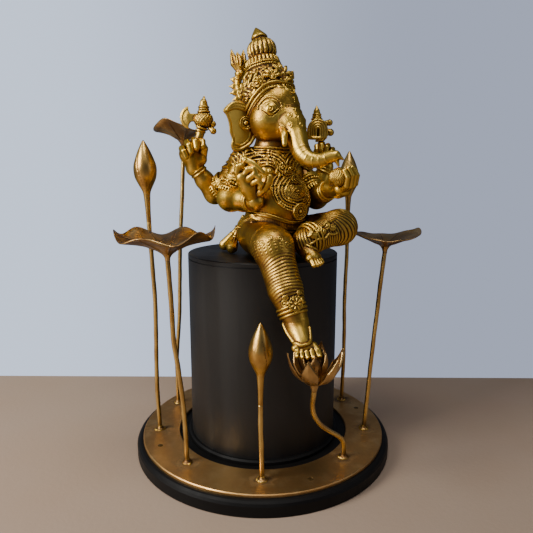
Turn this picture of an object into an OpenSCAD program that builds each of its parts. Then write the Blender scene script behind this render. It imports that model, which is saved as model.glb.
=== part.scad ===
// Seated four-armed elephant-headed idol in brass, on a round black pedestal ringed by lotus stems.
// Millimetres. The origin is the centre of the base's underside, +Z is up and -Y is the front.
// The figure is drawn from the middle of its seat, and stands on the pedestal by two pegs.

/* [Stand] */
// Diameter of the wooden base disc
base_d = 360; // [356:1:372]
// Thickness of the base disc
base_h = 20; // [18:1:24]
// Outer diameter of the brass ring plate
plate_out_d = 343; // [340:1:348]
// Inner diameter of the brass ring plate
plate_in_d = 241; // [236:1:244]
// Thickness of the ring plate
plate_t = 4; // [3:0.5:5]
// Diameter of the pedestal drum
pedestal_d = 205; // [200:1:206]
// Wall of the pedestal drum
drum_wall = 10; // [8:1:14]
// Height of the seat above the table
seat_z = 279; // [276:1:284]

/* [Stems] */
// Diameter of the stem rods
rod_d = 6; // [5:0.5:6.5]
// Widest diameter of a lotus bud
bud_d = 30; // [26:1:32]
// Thickness of the sheet of a lotus leaf
leaf_t = 2; // [1.6:0.2:3]

/* [Figure] */
// Diameter of the pegs that locate the figure on its seat
peg_d = 8; // [6:1:10]
// Depth of the pegs below the seat
peg_len = 11; // [8:1:12]
// Facets round the large balls that shape the body
facets = 16; // [16:2:20]

/* [Hidden] */

brass = "darkgoldenrod";
bright_brass = "goldenrod";
black = "dimgray";
smooth_fn = 96;
rod_r = rod_d / 2;
pedestal_r = pedestal_d / 2;
plate_z = base_h + plate_t;

// Pedestal: a foot board, a drum and a top board that plugs into it
foot_lip = 5;
foot_h = 6;
plug_depth = 12;
plug_r = pedestal_r - drum_wall - 0.1;
cap_h = 5;
groove_h = 1.5;
groove_depth = 1.5;
drum_z = base_h + foot_h;
drum_top = seat_z - cap_h - groove_h;
top_board_t = 18;
bolt_circle = 60;
bolt_r = 3;
bolt_len = 30;
bolt_head_r = 6;
bolt_head_h = 5;

// Ring plate screws, by angle from the front towards +X
screw_angles = [-64, 23, 108, 203];
screw_circle = 152.5;
screw_r = 1.75;
screw_head_r = 3.6;
screw_len = 15;

// Stems: each route goes from its foot on the plate to its tip; heights are above the table
braze_h = 4;
stud_r = 1.5;
stud_len = 9;
bud_len = 106;
left_bud_route = [[-147, -22], [-149, -22, 90], [-148, -22, 160], [-147, -22, 215], [-150, -22, 290],
  [-151, -22, 321]];
right_bud_route = [[126, 78], [128, 78, 87], [127, 78, 190], [128, 78, 250], [128, 78, 312]];
front_bud_route = [[2, -143], [1, -143, 60], [0, -143, 90], [0, -143, 120]];
left_leaf_route = [[-94, -106], [-96, -106, 85], [-101, -106, 144], [-106, -106, 185],
  [-108, -106, 242], [-110, -106, 284]];
right_leaf_route = [[145, -17], [151, -17, 106], [159, -17, 214], [164, -17, 270], [165, -17, 280]];
back_leaf_route = [[-137, 64], [-137, 64, 94], [-131, 64, 168], [-126, 64, 282], [-120, 64, 370],
  [-117, 64, 422]];
lotus_route = [[106, -92], [105, -94, 42], [99, -100, 56], [84, -112, 71], [72, -125, 86],
  [63, -137, 104], [60, -147, 121], [60, -157, 138], [60, -163, 150]];
// Every foot, for the holes in the plate and the braze round them
feet = [for (route = [left_bud_route, right_bud_route, front_bud_route, left_leaf_route,
  right_leaf_route, back_leaf_route, lotus_route]) route[0]];

// Lotus flower, heights above the table
lotus_base = [60, -165, 154];

// Figure, from the middle of the seat: [x, y, z, radius]
pelvis = [10, -16, 24, 36];
belly = [20, -40, 67, 42];
chest = [12, -24, 109, 34];
neck_low = [14, -24, 141, 23];
neck_high = [14, -26, 157, 23];
skull = [14, -30, 177, 32];
snout = [32, -46, 165, 20];
trunk_line = [[40, -54, 165, 15], [47, -64, 149, 13.5], [52, -72, 131, 12.5], [60, -79, 121, 10.5],
  [71, -84, 120, 8], [82, -88, 124, 6.8], [91, -90, 125, 5]];
right_front_line = [[-22, -36, 119, 17], [-40, -40, 75, 17], [-7, -84, 73, 11]];
right_rear_line = [[-26, -14, 119, 16], [-66, 8, 79, 14], [-87, -2, 107, 9.5]];
left_front_line = [[44, -8, 117, 15], [70, -34, 75, 14], [84, -62, 87, 10]];
left_rear_line = [[44, 6, 119, 15], [72, 22, 77, 14], [88, 18, 115, 9.5]];
right_leg_line = [[-4, -38, 26, 26], [14, -112, 21, 24], [28, -132, -24, 20], [40, -144, -57, 14]];
left_leg_line = [[34, -20, 24, 24], [97, -58, 39, 21], [52, -92, 25, 17]];
right_foot_line = [[43, -147, -66, 13], [52, -168, -76, 9.5], [57, -180, -78, 5.5]];
left_foot_line = [[50, -93, 21, 12], [60, -104, 12, 10], [72, -118, 4, 7]];
crown_foot = [9, -23, 198];
crown_lean = [-9.6, -11, 0];
ear_t = 5;

// ---- helpers ----

// Keeps what it holds as one faceted casting; a resize of zero changes no size
module casting() resize([0, 0, 0]) children();

// The first child with the room for the others taken out
module fitted_to() {
  casting() difference() {
    children(0);
    children([1:$children - 1]);
  }
}

// A ball at [x, y, z, radius]; small ones take fewer facets
module ball(joint) {
  translate([joint[0], joint[1], joint[2]])
    sphere(r = joint[3], $fn = joint[3] > 12 ? facets : joint[3] > 4 ? facets - 4 : facets - 8);
}

// A rounded limb through a list of joints
module limb(joints) {
  for (i = [0:len(joints) - 2])
    hull() {
      ball(joints[i]);
      ball(joints[i + 1]);
    }
}

// Turns what it holds from +Z to a direction
module facing(direction) {
  turn = acos(direction[2] / norm(direction));
  rotate([0, turn, atan2(direction[1], direction[0])]) children();
}

// A ring round a limb at a place, its axis along a direction
module band(place, direction, ring_r, wire_r) {
  translate(place) facing(direction)
    rotate_extrude($fn = 20) translate([ring_r, 0]) circle(r = wire_r, $fn = 8);
}

module round_about(angle, radius) rotate([0, 0, angle]) translate([0, -radius, 0]) children();

module on_seat() translate([0, 0, seat_z]) children();

function unit(v) = v / norm(v);
function knot(p, i) = p[max(0, min(len(p) - 1, i))];
function between(a, b, c, d, t) =
  0.5 * (2 * b + (c - a) * t + (2 * a - 5 * b + 4 * c - d) * t * t + (3 * b - a - 3 * c + d) * t * t * t);
// Points of a smooth curve through the points of p, with n steps to a span
function smooth(p, n) = concat(
  [for (i = [0:len(p) - 2], k = [0:n - 1])
    between(knot(p, i - 1), knot(p, i), knot(p, i + 1), knot(p, i + 2), k / n)],
  [p[len(p) - 1]]);
function tangent(p, i) = unit(p[min(i + 1, len(p) - 1)] - p[max(i - 1, 0)]);

// A rod swept along a path, round to 10 sides
module swept_rod(path, radius) {
  sides = 10;
  last = len(path) - 1;
  rings = [for (i = [0:last])
    let (t = tangent(path, i), u = unit(cross([0, 1, 0], t)), v = cross(t, u))
      for (k = [0:sides - 1])
        path[i] + radius * (cos(360 * k / sides) * u + sin(360 * k / sides) * v)];
  walls = [for (i = [0:last - 1], k = [0:sides - 1], half = [0, 1])
    let (a = i * sides + k, b = i * sides + (k + 1) % sides)
      half == 0 ? [a, a + sides, b] : [b, a + sides, b + sides]];
  ends = [[for (k = [0:sides - 1]) k], [for (k = [0:sides - 1]) last * sides + sides - 1 - k]];
  polyhedron(points = rings, faces = concat(walls, ends), convexity = 4);
}

// The route of a rod: straight up out of the plate, then on through its own points
function rod_path(route) = let (foot = route[0]) concat(
  [[foot[0], foot[1], base_h], [foot[0], foot[1], plate_z + braze_h + 1]],
  smooth(concat([[foot[0], foot[1], plate_z + braze_h + 4]],
    [for (i = [1:len(route) - 1]) route[i]]), 3));
function rod_tip(route) = route[len(route) - 1];
function rod_aim(route) = let (p = rod_path(route)) tangent(p, len(p) - 1);

// A rod drilled at its tip for the stud of a bud or a leaf
module stem(route) {
  difference() {
    swept_rod(rod_path(route), rod_r);
    translate(rod_tip(route)) facing(rod_aim(route))
      translate([0, 0, -stud_len - 1]) cylinder(r = stud_r + 0.1, h = stud_len + 2, $fn = 24);
  }
}

module at_tip(route) translate(rod_tip(route)) facing(rod_aim(route)) children();

// A bud on its neck, with a stud that goes down into the rod
module bud(route, size = 1) {
  r = bud_d / 2 * size;
  at_tip(route) rotate_extrude($fn = smooth_fn)
    polygon([[0, -stud_len], [stud_r, -stud_len], [stud_r, 0], [rod_r + 0.2, 0],
      [rod_r + 0.6, 20], [rod_r + 1.6, 36], [rod_r + 3, 42], [0.73 * r, 52], [0.96 * r, 62],
      [r, 69], [0.9 * r, 78], [0.6 * r, 92], [0.27 * r, 101], [0, bud_len]]);
}

// A round leaf: a shallow funnel whose rim waves up and down
module leaf(route, rim_r, depth, wave, waves, phase) {
  sides = 24;
  hub = 0.16;
  steps = [hub, 0.3, 0.5, 0.7, 0.86, 1];
  layer = len(steps) * sides;
  function rise(q, a) = depth * pow((q - hub) / (1 - hub), 0.75)
    + wave * pow((q - hub) / (1 - hub), 2) * sin(waves * a + phase);
  sheet = [for (side = [0, 1], q = steps, k = [0:sides - 1])
    let (a = 360 * k / sides, r = rim_r * q * (1 + 0.05 * (q - hub) * sin(2 * a + phase)))
      [r * cos(a), r * sin(a), 9 + rise(q, a) + side * leaf_t]];
  over = [for (i = [0:len(steps) - 2], k = [0:sides - 1], side = [0, 1], half = [0, 1])
    let (a = side * layer + i * sides + k, b = side * layer + i * sides + (k + 1) % sides,
      tri = half == 0 ? [a, b, a + sides] : [b, b + sides, a + sides])
      side == 1 ? tri : [tri[2], tri[1], tri[0]]];
  rim = [for (k = [0:sides - 1], half = [0, 1])
    let (a = layer - sides + k, b = layer - sides + (k + 1) % sides)
      half == 0 ? [a + layer, b, a] : [a + layer, b + layer, b]];
  caps = [[for (k = [0:sides - 1]) k], [for (k = [0:sides - 1]) layer + sides - 1 - k]];
  casting() {
    translate(rod_tip(route)) polyhedron(points = sheet, faces = concat(over, rim, caps), convexity = 6);
    at_tip(route) {
      cylinder(r1 = rod_r + 0.2, r2 = hub * rim_r, h = 9.8, $fn = 24);
      translate([0, 0, -stud_len]) cylinder(r = stud_r, h = stud_len + 1, $fn = 24);
    }
  }
}

// ---- stand ----

module base_disc() {
  edge = 6;
  color(black) difference() {
    rotate_extrude($fn = 2 * smooth_fn)
      polygon([[0, 0], [base_d / 2 - 1, 0], [base_d / 2, 1], [base_d / 2, base_h - edge],
        [base_d / 2 - 1.5, base_h - edge / 2], [base_d / 2 - 4, base_h - 0.8],
        [base_d / 2 - 6, base_h], [0, base_h]]);
    for (a = [45:90:315]) round_about(a, bolt_circle) {
      translate([0, 0, -1]) cylinder(r = bolt_r + 0.3, h = base_h + 2, $fn = 32);
      translate([0, 0, -1]) cylinder(r = bolt_head_r + 0.5, h = bolt_head_h + 2, $fn = 32);
    }
    for (a = screw_angles) round_about(a, screw_circle)
      translate([0, 0, base_h - 12]) cylinder(r = screw_r + 0.05, h = 13, $fn = 24);
  }
}

module pedestal_foot() {
  color(black) difference() {
    rotate_extrude($fn = smooth_fn)
      polygon([[0, base_h], [pedestal_r + foot_lip - 1, base_h], [pedestal_r + foot_lip, base_h + 1],
        [pedestal_r + foot_lip, drum_z - 2], [pedestal_r + foot_lip - 2, drum_z],
        [plug_r, drum_z], [plug_r, drum_z + plug_depth], [0, drum_z + plug_depth]]);
    for (a = [45:90:315]) round_about(a, bolt_circle)
      translate([0, 0, base_h - 1]) cylinder(r = bolt_r + 0.05, h = 14, $fn = 32);
  }
}

module pedestal_drum() {
  color(black) translate([0, 0, drum_z]) difference() {
    cylinder(r = pedestal_r, h = drum_top - drum_z, $fn = smooth_fn);
    translate([0, 0, -1]) cylinder(r = pedestal_r - drum_wall, h = drum_top - drum_z + 2, $fn = smooth_fn);
  }
}

module pedestal_top() {
  color(black) difference() {
    rotate_extrude($fn = smooth_fn)
      polygon([[0, seat_z - top_board_t], [plug_r, seat_z - top_board_t], [plug_r, drum_top],
        [pedestal_r - groove_depth, drum_top], [pedestal_r - groove_depth, drum_top + groove_h],
        [pedestal_r, drum_top + groove_h], [pedestal_r, seat_z - 1], [pedestal_r - 1, seat_z],
        [0, seat_z]]);
    for (place = peg_places) translate([place[0], place[1], seat_z - peg_len - 1])
      cylinder(r = peg_d / 2 + 0.1, h = peg_len + 2, $fn = 32);
  }
}

module pedestal_bolts() {
  color("silver") for (a = [45:90:315]) round_about(a, bolt_circle) translate([0, 0, 1])
    difference() {
      union() {
        cylinder(r = bolt_head_r, h = bolt_head_h, $fn = 32);
        cylinder(r = bolt_r, h = bolt_len, $fn = 32);
      }
      translate([0, 0, -1]) cylinder(r = 2.9, h = 4, $fn = 6);
    }
}

module ring_plate() {
  edge = 1;
  color(brass) difference() {
    rotate_extrude($fn = 2 * smooth_fn)
      polygon([[plate_in_d / 2, base_h], [plate_out_d / 2, base_h], [plate_out_d / 2, plate_z - edge],
        [plate_out_d / 2 - edge, plate_z], [plate_in_d / 2 + edge, plate_z],
        [plate_in_d / 2, plate_z - edge]]);
    for (foot = feet) translate([foot[0], foot[1], base_h - 1])
      cylinder(r = rod_r + 0.05, h = plate_t + 2, $fn = 24);
    for (a = screw_angles) round_about(a, screw_circle) {
      translate([0, 0, base_h - 1]) cylinder(r = screw_r + 0.25, h = plate_t + 2, $fn = 24);
      translate([0, 0, plate_z - 2])
        cylinder(r1 = screw_r + 0.25, r2 = screw_head_r + 0.1, h = 2.01, $fn = 24);
    }
  }
}

module plate_screws() {
  color(bright_brass) for (a = screw_angles) round_about(a, screw_circle)
    translate([0, 0, plate_z]) difference() {
      rotate_extrude($fn = 24)
        polygon([[0, 0.8], [1.5, 0.7], [screw_head_r - 0.6, 0.3], [screw_head_r, 0],
          [screw_r, -1.95], [screw_r, 3 - screw_len], [0, -screw_len]]);
      rotate([0, 0, 30 + a]) translate([-4, -0.45, 0.1]) cube([8, 0.9, 2]);
    }
}

module braze_beads() {
  color(bright_brass) for (foot = feet) translate([foot[0], foot[1], plate_z])
    rotate_extrude($fn = 24)
      polygon([[rod_r + 0.05, 0], [2.2 * rod_r, 0], [2.1 * rod_r, 1.2], [1.5 * rod_r, braze_h - 1],
        [rod_r + 0.5, braze_h], [rod_r + 0.05, braze_h]]);
}

module left_bud_stem() { color(bright_brass) stem(left_bud_route); }
module right_bud_stem() { color(bright_brass) stem(right_bud_route); }
module front_bud_stem() { color(bright_brass) stem(front_bud_route); }
module left_leaf_stem() { color(bright_brass) stem(left_leaf_route); }
module right_leaf_stem() { color(bright_brass) stem(right_leaf_route); }
module back_leaf_stem() { color(bright_brass) stem(back_leaf_route); }
module lotus_stem() { color(bright_brass) stem(lotus_route); }

module left_bud() { color(bright_brass) bud(left_bud_route); }
module right_bud() { color(bright_brass) bud(right_bud_route); }
module front_bud() { color(bright_brass) bud(front_bud_route, 0.93); }

module left_leaf() { color(brass) leaf(left_leaf_route, 60, 20, 6, 3, -60); }
module right_leaf() { color(brass) leaf(right_leaf_route, 46, 14, 4, 2, 90); }
module back_leaf() { color(brass) leaf(back_leaf_route, 42, 20, 7, 3, 60); }

// One boat-shaped petal, rooted at the flower's base; its keel hangs below its edges
module petal(turn, rise, length, width) {
  rotate([0, 0, turn]) rotate([0, -rise, 0])
    hull() {
      ball([8, 0, 0, 2]);
      ball([0.4 * length, 0, -4.5, 1.2]);
      for (side = [-1, 1]) {
        ball([0.45 * length, side * 0.48 * width, -1, 1]);
        ball([0.75 * length, side * 0.36 * width, 1, 1]);
      }
      ball([0.75 * length, 0, -1.5, 1.2]);
      ball([length, 0, 4, 0.9]);
    }
}

// The cup that carries the flower leans with the stem
module lotus_cup() at_tip(lotus_route) cylinder(r1 = rod_r + 0.3, r2 = 9, h = 9, $fn = 24);

module lotus_outer_petals() {
  color(brass) casting() {
    lotus_cup();
    at_tip(lotus_route) translate([0, 0, -stud_len]) cylinder(r = stud_r, h = stud_len + 1, $fn = 24);
    translate(lotus_base) for (turn = [12:60:312]) petal(turn, 40, 50, 14.5);
  }
}

// The inner petals stand on a disc, on a stalk through the middle of the outer ones
module lotus_inner_petals() {
  color(brass) casting() difference() {
    translate(lotus_base) {
      translate([0, 0, 5]) cylinder(r = 3, h = 7, $fn = 24);
      translate([0, 0, 11]) cylinder(r = 7, h = 3, $fn = 24);
      translate([0, 0, 6]) for (turn = [48:72:336]) petal(turn, 58, 34, 10.5);
    }
    lotus_cup();
  }
}

module lotus_seed_pod() {
  color(brass) translate(lotus_base) difference() {
    rotate_extrude($fn = 32)
      polygon([[0, 14], [1.8, 14], [1.8, 16.5], [5.5, 21], [8, 26], [7.5, 27.2], [0, 28]]);
    for (turn = [0:60:300]) rotate([0, 0, turn]) translate([5, 0, 28.6]) sphere(r = 1.5, $fn = 16);
  }
}

// ---- figure ----

peg_places = [[-4, -8], [24, -24]];

// The room that the seat and the drum below it take
module seat_room() translate([0, 0, -200]) cylinder(r = pedestal_r + 1, h = 200, $fn = 64);

module hips_form() {
  limb([pelvis, [14, -24, 34, 37]]);
  limb([[-8, -22, 26, 27], [30, -16, 26, 27]]);
}
module torso_form() {
  limb([[12, -26, 44, 36], belly, chest, neck_low]);
}
module head_form() {
  limb([neck_low, neck_high, skull, snout, [38, -54, 172, 17]]);
  limb([skull, [6, -40, 170, 27]]);
}
module trunk_form() limb(trunk_line);
module right_leg_form() limb(right_leg_line);
module left_leg_form() limb(left_leg_line);
module right_front_form() limb(right_front_line);
module right_rear_form() limb(right_rear_line);
module left_front_form() limb(left_front_line);
module left_rear_form() limb(left_rear_line);
module arms_form() {
  right_front_form();
  right_rear_form();
  left_front_form();
  left_rear_form();
}

module hips() { color(brass) on_seat() fitted_to() { hips_form(); seat_room(); } }
module torso() { color(brass) on_seat() fitted_to() { torso_form(); hips_form(); } }
module right_leg() {
  color(brass) on_seat() fitted_to() { right_leg_form(); hips_form(); torso_form(); seat_room(); }
}
module left_leg() {
  color(brass) on_seat() fitted_to() {
    left_leg_form(); hips_form(); torso_form(); right_leg_form(); seat_room();
  }
}

module right_foot_form() {
  limb(right_foot_line);
  limb([[48, -164, -77, 8], [49, -176, -79, 4.5]]);
}
module right_foot() { color(brass) on_seat() fitted_to() { right_foot_form(); right_leg_form(); } }
module left_foot_form() limb(left_foot_line);
module left_foot() {
  color(brass) on_seat() fitted_to() {
    left_foot_form(); left_leg_form(); right_leg_form(); seat_room();
  }
}

module anklets() {
  color(bright_brass) on_seat() fitted_to() {
    union() {
      band([36, -140, -48], [12, -12, -33], 15.5, 3);
      band([39, -144, -58], [12, -12, -33], 14, 2.6);
      band([60, -88, 27], [-45, -34, -14], 18, 2.8);
    }
    right_leg_form(); left_leg_form(); right_foot_form(); left_foot_form(); seat_room();
  }
}

module head() { color(brass) on_seat() fitted_to() { head_form(); torso_form(); } }
module trunk() { color(brass) on_seat() fitted_to() { trunk_form(); head_form(); } }

module tusks() {
  color(bright_brass) on_seat() fitted_to() {
    union() {
      limb([[24, -58, 162, 6], [27, -74, 151, 4.5], [27, -80, 137, 3]]);
      limb([[48, -36, 162, 6], [60, -39, 151, 4.5], [67, -38, 134, 2.5]]);
    }
    head_form(); trunk_form(); torso_form(); arms_form();
  }
}

// The flat of an ear, drawn upright from its root: [outwards, upwards]
// Out from the head and up, round the ear: a pointed upper corner and a long lower lobe
module ear_outline() {
  polygon([[-4, 2], [4, 6], [10, 9], [15, 11], [22, 13.5], [29, 14.5], [36, 13], [42, 9], [47, 3], [43, -3],
    [40.5, -12], [39.5, -22], [37, -31], [37, -40], [34, -44], [28, -44], [23, -41], [12, -36], [6, -28],
    [0, -20], [-5, -10]]);
}
module ear_form(root, heading) {
  translate(root) rotate([0, 0, heading]) rotate([90, 0, 0])
    linear_extrude(height = ear_t, center = true) ear_outline();
}
module right_ear_form() ear_form([-6, -30, 177], 205);
module left_ear_form() ear_form([32, -8, 177], 70);
module right_ear() {
  color(brass) on_seat() fitted_to() {
    right_ear_form(); head_form(); torso_form(); arms_form(); crown_form();
  }
}
module left_ear() {
  color(brass) on_seat() fitted_to() {
    left_ear_form(); head_form(); torso_form(); arms_form(); crown_form();
  }
}
module earrings() {
  color(bright_brass) on_seat() fitted_to() {
    union() {
      translate([-21, -39, 166]) rotate([0, 0, 205]) rotate([90, 0, 0])
        cylinder(r = 8, h = 5, $fn = 24);
      translate([39, 8, 166]) rotate([0, 0, 70]) rotate([-90, 0, 0])
        cylinder(r = 8, h = 5, $fn = 24);
    }
    right_ear_form(); left_ear_form(); head_form();
  }
}

module crown_place() translate(crown_foot) rotate(crown_lean) children();
module crown_form() {
  crown_place() rotate_extrude($fn = 32)
    polygon([[0, 0], [31, 0], [34, 5], [34, 15], [31, 22], [30, 33], [24, 41], [20, 49], [16, 55],
      [0, 55]]);
}
module crown() {
  color(brass) on_seat() fitted_to() {
    union() {
      crown_form();
      limb([[26, -40, 215, 8], [27, -38, 232, 9], [22, -32, 242, 6]]);
    }
    head_form();
  }
}
module crown_finial() {
  color(brass) on_seat() crown_place() rotate_extrude($fn = 32)
    polygon([[0, 55], [13, 55], [17, 58], [18.5, 65], [16, 73], [10, 78], [9, 81], [6, 82], [4.5, 88],
      [1, 93], [0, 93]]);
}
module crown_plume() {
  color(brass) on_seat() fitted_to() {
    limb([[-16, 4, 205, 6], [-32, 14, 218, 6], [-36, 16, 240, 6], [-32, 14, 256, 7], [-34, 15, 263, 2]]);
    crown_form(); head_form(); right_ear_form();
  }
}

// A palm with its fingers as one mitten, and a thumb
module hand_form(palm, knuckles, tips, thumb) {
  limb([palm, knuckles, tips]);
  limb([palm, thumb]);
}
module right_front_hand_form()
  hand_form([-11, -86, 78, 10], [-19, -95, 97, 10], [-13, -99, 111, 6], [5, -97, 95, 4.5]);
module right_rear_hand_form()
  hand_form([-90, -4, 118, 10], [-95, -6, 134, 14], [-98, -12, 144, 10], [-82, -10, 142, 6]);
module left_front_hand_form()
  hand_form([86, -66, 88, 10], [96, -76, 90, 10], [106, -82, 102, 7], [88, -84, 90, 5]);
module left_rear_hand_form()
  hand_form([87, 18, 122, 9.5], [86, 17, 138, 12], [84, 12, 150, 8], [78, 12, 144, 6]);

module battle_axe_form() {
  limb([[-98, -4, 116, 3], [-84, -5, 160, 3]]);
  limb([[-80, -5, 159, 7], [-77, -5, 172, 11], [-77, -5, 182, 12], [-77, -5, 195, 5], [-76, -5, 203, 1.5]]);
  hull() {
    ball([-88, -5, 182, 4]);
    ball([-107, -5, 194, 2]);
    ball([-109, -5, 181, 2]);
    ball([-106, -5, 168, 2]);
  }
  limb([[-70, -5, 180, 6], [-63, -5, 180, 4]]);
}
module broken_tusk_form() limb([[-14, -99, 119, 4], [2, -103, 106, 3]]);
module noose_form() {
  limb([[84, 18, 134, 3], [77, 19, 160, 3]]);
  limb([[78, 19, 158, 6], [73, 20, 168, 9], [73, 20, 179, 10], [72, 20, 191, 5], [72, 20, 195, 2]]);
  limb([[82, 20, 176, 6], [91, 20, 177, 4]]);
}
module modak_form() ball([90, -94, 101, 9.5]);

module right_front_arm() {
  color(brass) on_seat() fitted_to() { right_front_form(); torso_form(); hips_form(); }
}
module right_rear_arm() {
  color(brass) on_seat() fitted_to() { right_rear_form(); torso_form(); right_front_form(); }
}
module left_front_arm() {
  color(brass) on_seat() fitted_to() { left_front_form(); torso_form(); left_leg_form(); head_form(); }
}
module left_rear_arm() {
  color(brass) on_seat() fitted_to() { left_rear_form(); torso_form(); left_front_form(); head_form(); }
}
module right_front_hand() {
  color(brass) on_seat() fitted_to() { right_front_hand_form(); right_front_form(); broken_tusk_form(); }
}
module right_rear_hand() {
  color(brass) on_seat() fitted_to() { right_rear_hand_form(); right_rear_form(); battle_axe_form(); }
}
module left_front_hand() {
  color(brass) on_seat() fitted_to() {
    left_front_hand_form(); left_front_form(); modak_form(); trunk_form();
  }
}
module left_rear_hand() {
  color(brass) on_seat() fitted_to() { left_rear_hand_form(); left_rear_form(); noose_form(); }
}
module battle_axe() { color(brass) on_seat() casting() battle_axe_form(); }
module broken_tusk() {
  color(bright_brass) on_seat() fitted_to() { broken_tusk_form(); right_front_form(); }
}
module modak() { color(brass) on_seat() fitted_to() { modak_form(); trunk_form(); } }
module noose() { color(brass) on_seat() casting() noose_form(); }

module armlets() {
  color(bright_brass) on_seat() fitted_to() {
    union() {
      band([-34, -39, 92], [-18, -4, -44], 17, 3.5);
      band([-54, 1, 90], [-40, 22, -40], 15, 3);
      band([60, -24, 91], [26, -26, -42], 14.5, 3);
      band([62, 16, 93], [28, 16, -42], 14.5, 3);
    }
    arms_form(); torso_form(); hips_form();
  }
}
module bangles() {
  color(bright_brass) on_seat() fitted_to() {
    union() {
      band([-12, -78, 73], [33, -44, -2], 12, 2.6);
      band([-84, 0, 103], [-21, -10, 28], 10.5, 2.6);
      band([81, -57, 84], [14, -28, 12], 11, 2.4);
      band([86, 18, 111], [16, -4, 38], 10.5, 2.4);
    }
    arms_form(); right_front_hand_form(); right_rear_hand_form(); left_front_hand_form();
    left_rear_hand_form(); torso_form(); left_leg_form();
  }
}
module collar() {
  color(bright_brass) on_seat() fitted_to() {
    union() {
      band([14, -25, 138], [0, -1, 4], 23, 5);
      band([15, -30, 128], [1, -2, 4], 28, 5);
    }
    torso_form(); head_form(); arms_form(); trunk_form();
  }
}
module chest_medallion() {
  color(bright_brass) on_seat() fitted_to() {
    union() {
      translate([36, -70, 88]) facing([16, -30, 12]) translate([0, 0, -12])
        cylinder(r1 = 20, r2 = 15, h = 18, $fn = 24);
      translate([42, -77, 62]) facing([22, -37, -4]) translate([0, 0, -8])
        cylinder(r = 9, h = 11, $fn = 24);
    }
    torso_form(); arms_form(); trunk_form(); right_front_hand_form(); broken_tusk_form();
    left_leg_form();
  }
}
module belt_form() {
  hull() {
    translate([20, -40, 36]) cylinder(r = 36, h = 9, $fn = 32);
    translate([11, -20, 36]) cylinder(r = 39, h = 9, $fn = 32);
  }
}
module waist_belt() {
  color(bright_brass) on_seat() fitted_to() {
    belt_form();
    torso_form(); hips_form(); arms_form(); right_leg_form(); left_leg_form();
  }
}
module hip_tassels() {
  color(brass) on_seat() fitted_to() {
    union() {
      limb([[-28, -2, 36, 7], [-40, 0, 26, 6], [-52, 0, 10, 4.5]]);
      limb([[-30, -8, 34, 7], [-38, -16, 18, 6], [-41, -22, 6, 4.5]]);
    }
    hips_form(); torso_form(); right_leg_form(); right_front_form(); right_rear_form();
    belt_form();
    seat_room();
  }
}
module locating_pegs() {
  color("silver") for (place = peg_places) translate([place[0], place[1], seat_z - peg_len])
    cylinder(r = peg_d / 2, h = peg_len, $fn = 32);
}

base_disc();
pedestal_foot();
pedestal_drum();
pedestal_top();
pedestal_bolts();
ring_plate();
plate_screws();
braze_beads();
left_bud_stem();
right_bud_stem();
front_bud_stem();
left_leaf_stem();
right_leaf_stem();
back_leaf_stem();
lotus_stem();
left_bud();
right_bud();
front_bud();
left_leaf();
right_leaf();
back_leaf();
lotus_outer_petals();
lotus_inner_petals();
lotus_seed_pod();
torso();
hips();
right_leg();
left_leg();
right_foot();
left_foot();
anklets();
head();
trunk();
tusks();
right_ear();
left_ear();
earrings();
crown();
crown_finial();
crown_plume();
right_front_arm();
right_front_hand();
right_rear_arm();
right_rear_hand();
left_front_arm();
left_front_hand();
left_rear_arm();
left_rear_hand();
battle_axe();
broken_tusk();
modak();
noose();
armlets();
bangles();
collar();
chest_medallion();
waist_belt();
hip_tassels();
locating_pegs();
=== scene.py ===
import math

import bpy
import numpy as np
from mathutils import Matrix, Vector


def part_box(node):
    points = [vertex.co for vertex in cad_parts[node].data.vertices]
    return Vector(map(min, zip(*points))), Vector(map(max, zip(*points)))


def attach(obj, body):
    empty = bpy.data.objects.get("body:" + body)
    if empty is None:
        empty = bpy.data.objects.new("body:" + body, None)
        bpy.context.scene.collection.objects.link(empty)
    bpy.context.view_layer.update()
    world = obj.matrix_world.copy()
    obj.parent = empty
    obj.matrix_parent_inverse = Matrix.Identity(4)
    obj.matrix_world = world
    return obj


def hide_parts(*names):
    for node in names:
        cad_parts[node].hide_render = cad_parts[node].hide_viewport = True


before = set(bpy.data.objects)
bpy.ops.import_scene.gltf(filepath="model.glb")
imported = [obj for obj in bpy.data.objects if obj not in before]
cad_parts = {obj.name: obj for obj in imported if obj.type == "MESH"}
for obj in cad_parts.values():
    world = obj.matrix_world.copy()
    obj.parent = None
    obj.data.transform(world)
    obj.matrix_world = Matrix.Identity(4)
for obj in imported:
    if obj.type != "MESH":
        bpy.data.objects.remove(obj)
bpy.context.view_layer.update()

import openvdb as vdb
from mathutils import Vector

# Everything is modelled in millimetres, and turned into metres when a mesh is made.
MM = 0.001
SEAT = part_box("pedestal_top")[1].z / MM
PLATE_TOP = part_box("ring_plate")[1].z / MM
COARSE = 1.0
FAR = 9.0

# ---------------------------------------------------------------- clay: signed distances on a grid


def vec(*values):
    return np.array(values, float)


def unit(v):
    v = np.asarray(v, float)
    return v / max(np.linalg.norm(v), 1e-9)


def smooth_path(points, gap):
    """Points of a Catmull-Rom curve through the points (of any width), about gap mm apart."""
    p = [np.asarray(q, float) for q in points]
    out = []
    for i in range(len(p) - 1):
        a, b, c, d = p[max(i - 1, 0)], p[i], p[i + 1], p[min(i + 2, len(p) - 1)]
        steps = max(1, int(math.ceil(np.linalg.norm((c - b)[:3]) / gap)))
        for k in range(steps):
            t = k / steps
            out.append(0.5 * (2 * b + (c - a) * t + (2 * a - 5 * b + 4 * c - d) * t ** 2
                              + (3 * b - a - 3 * c + d) * t ** 3))
    out.append(p[-1])
    return np.array(out)


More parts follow.
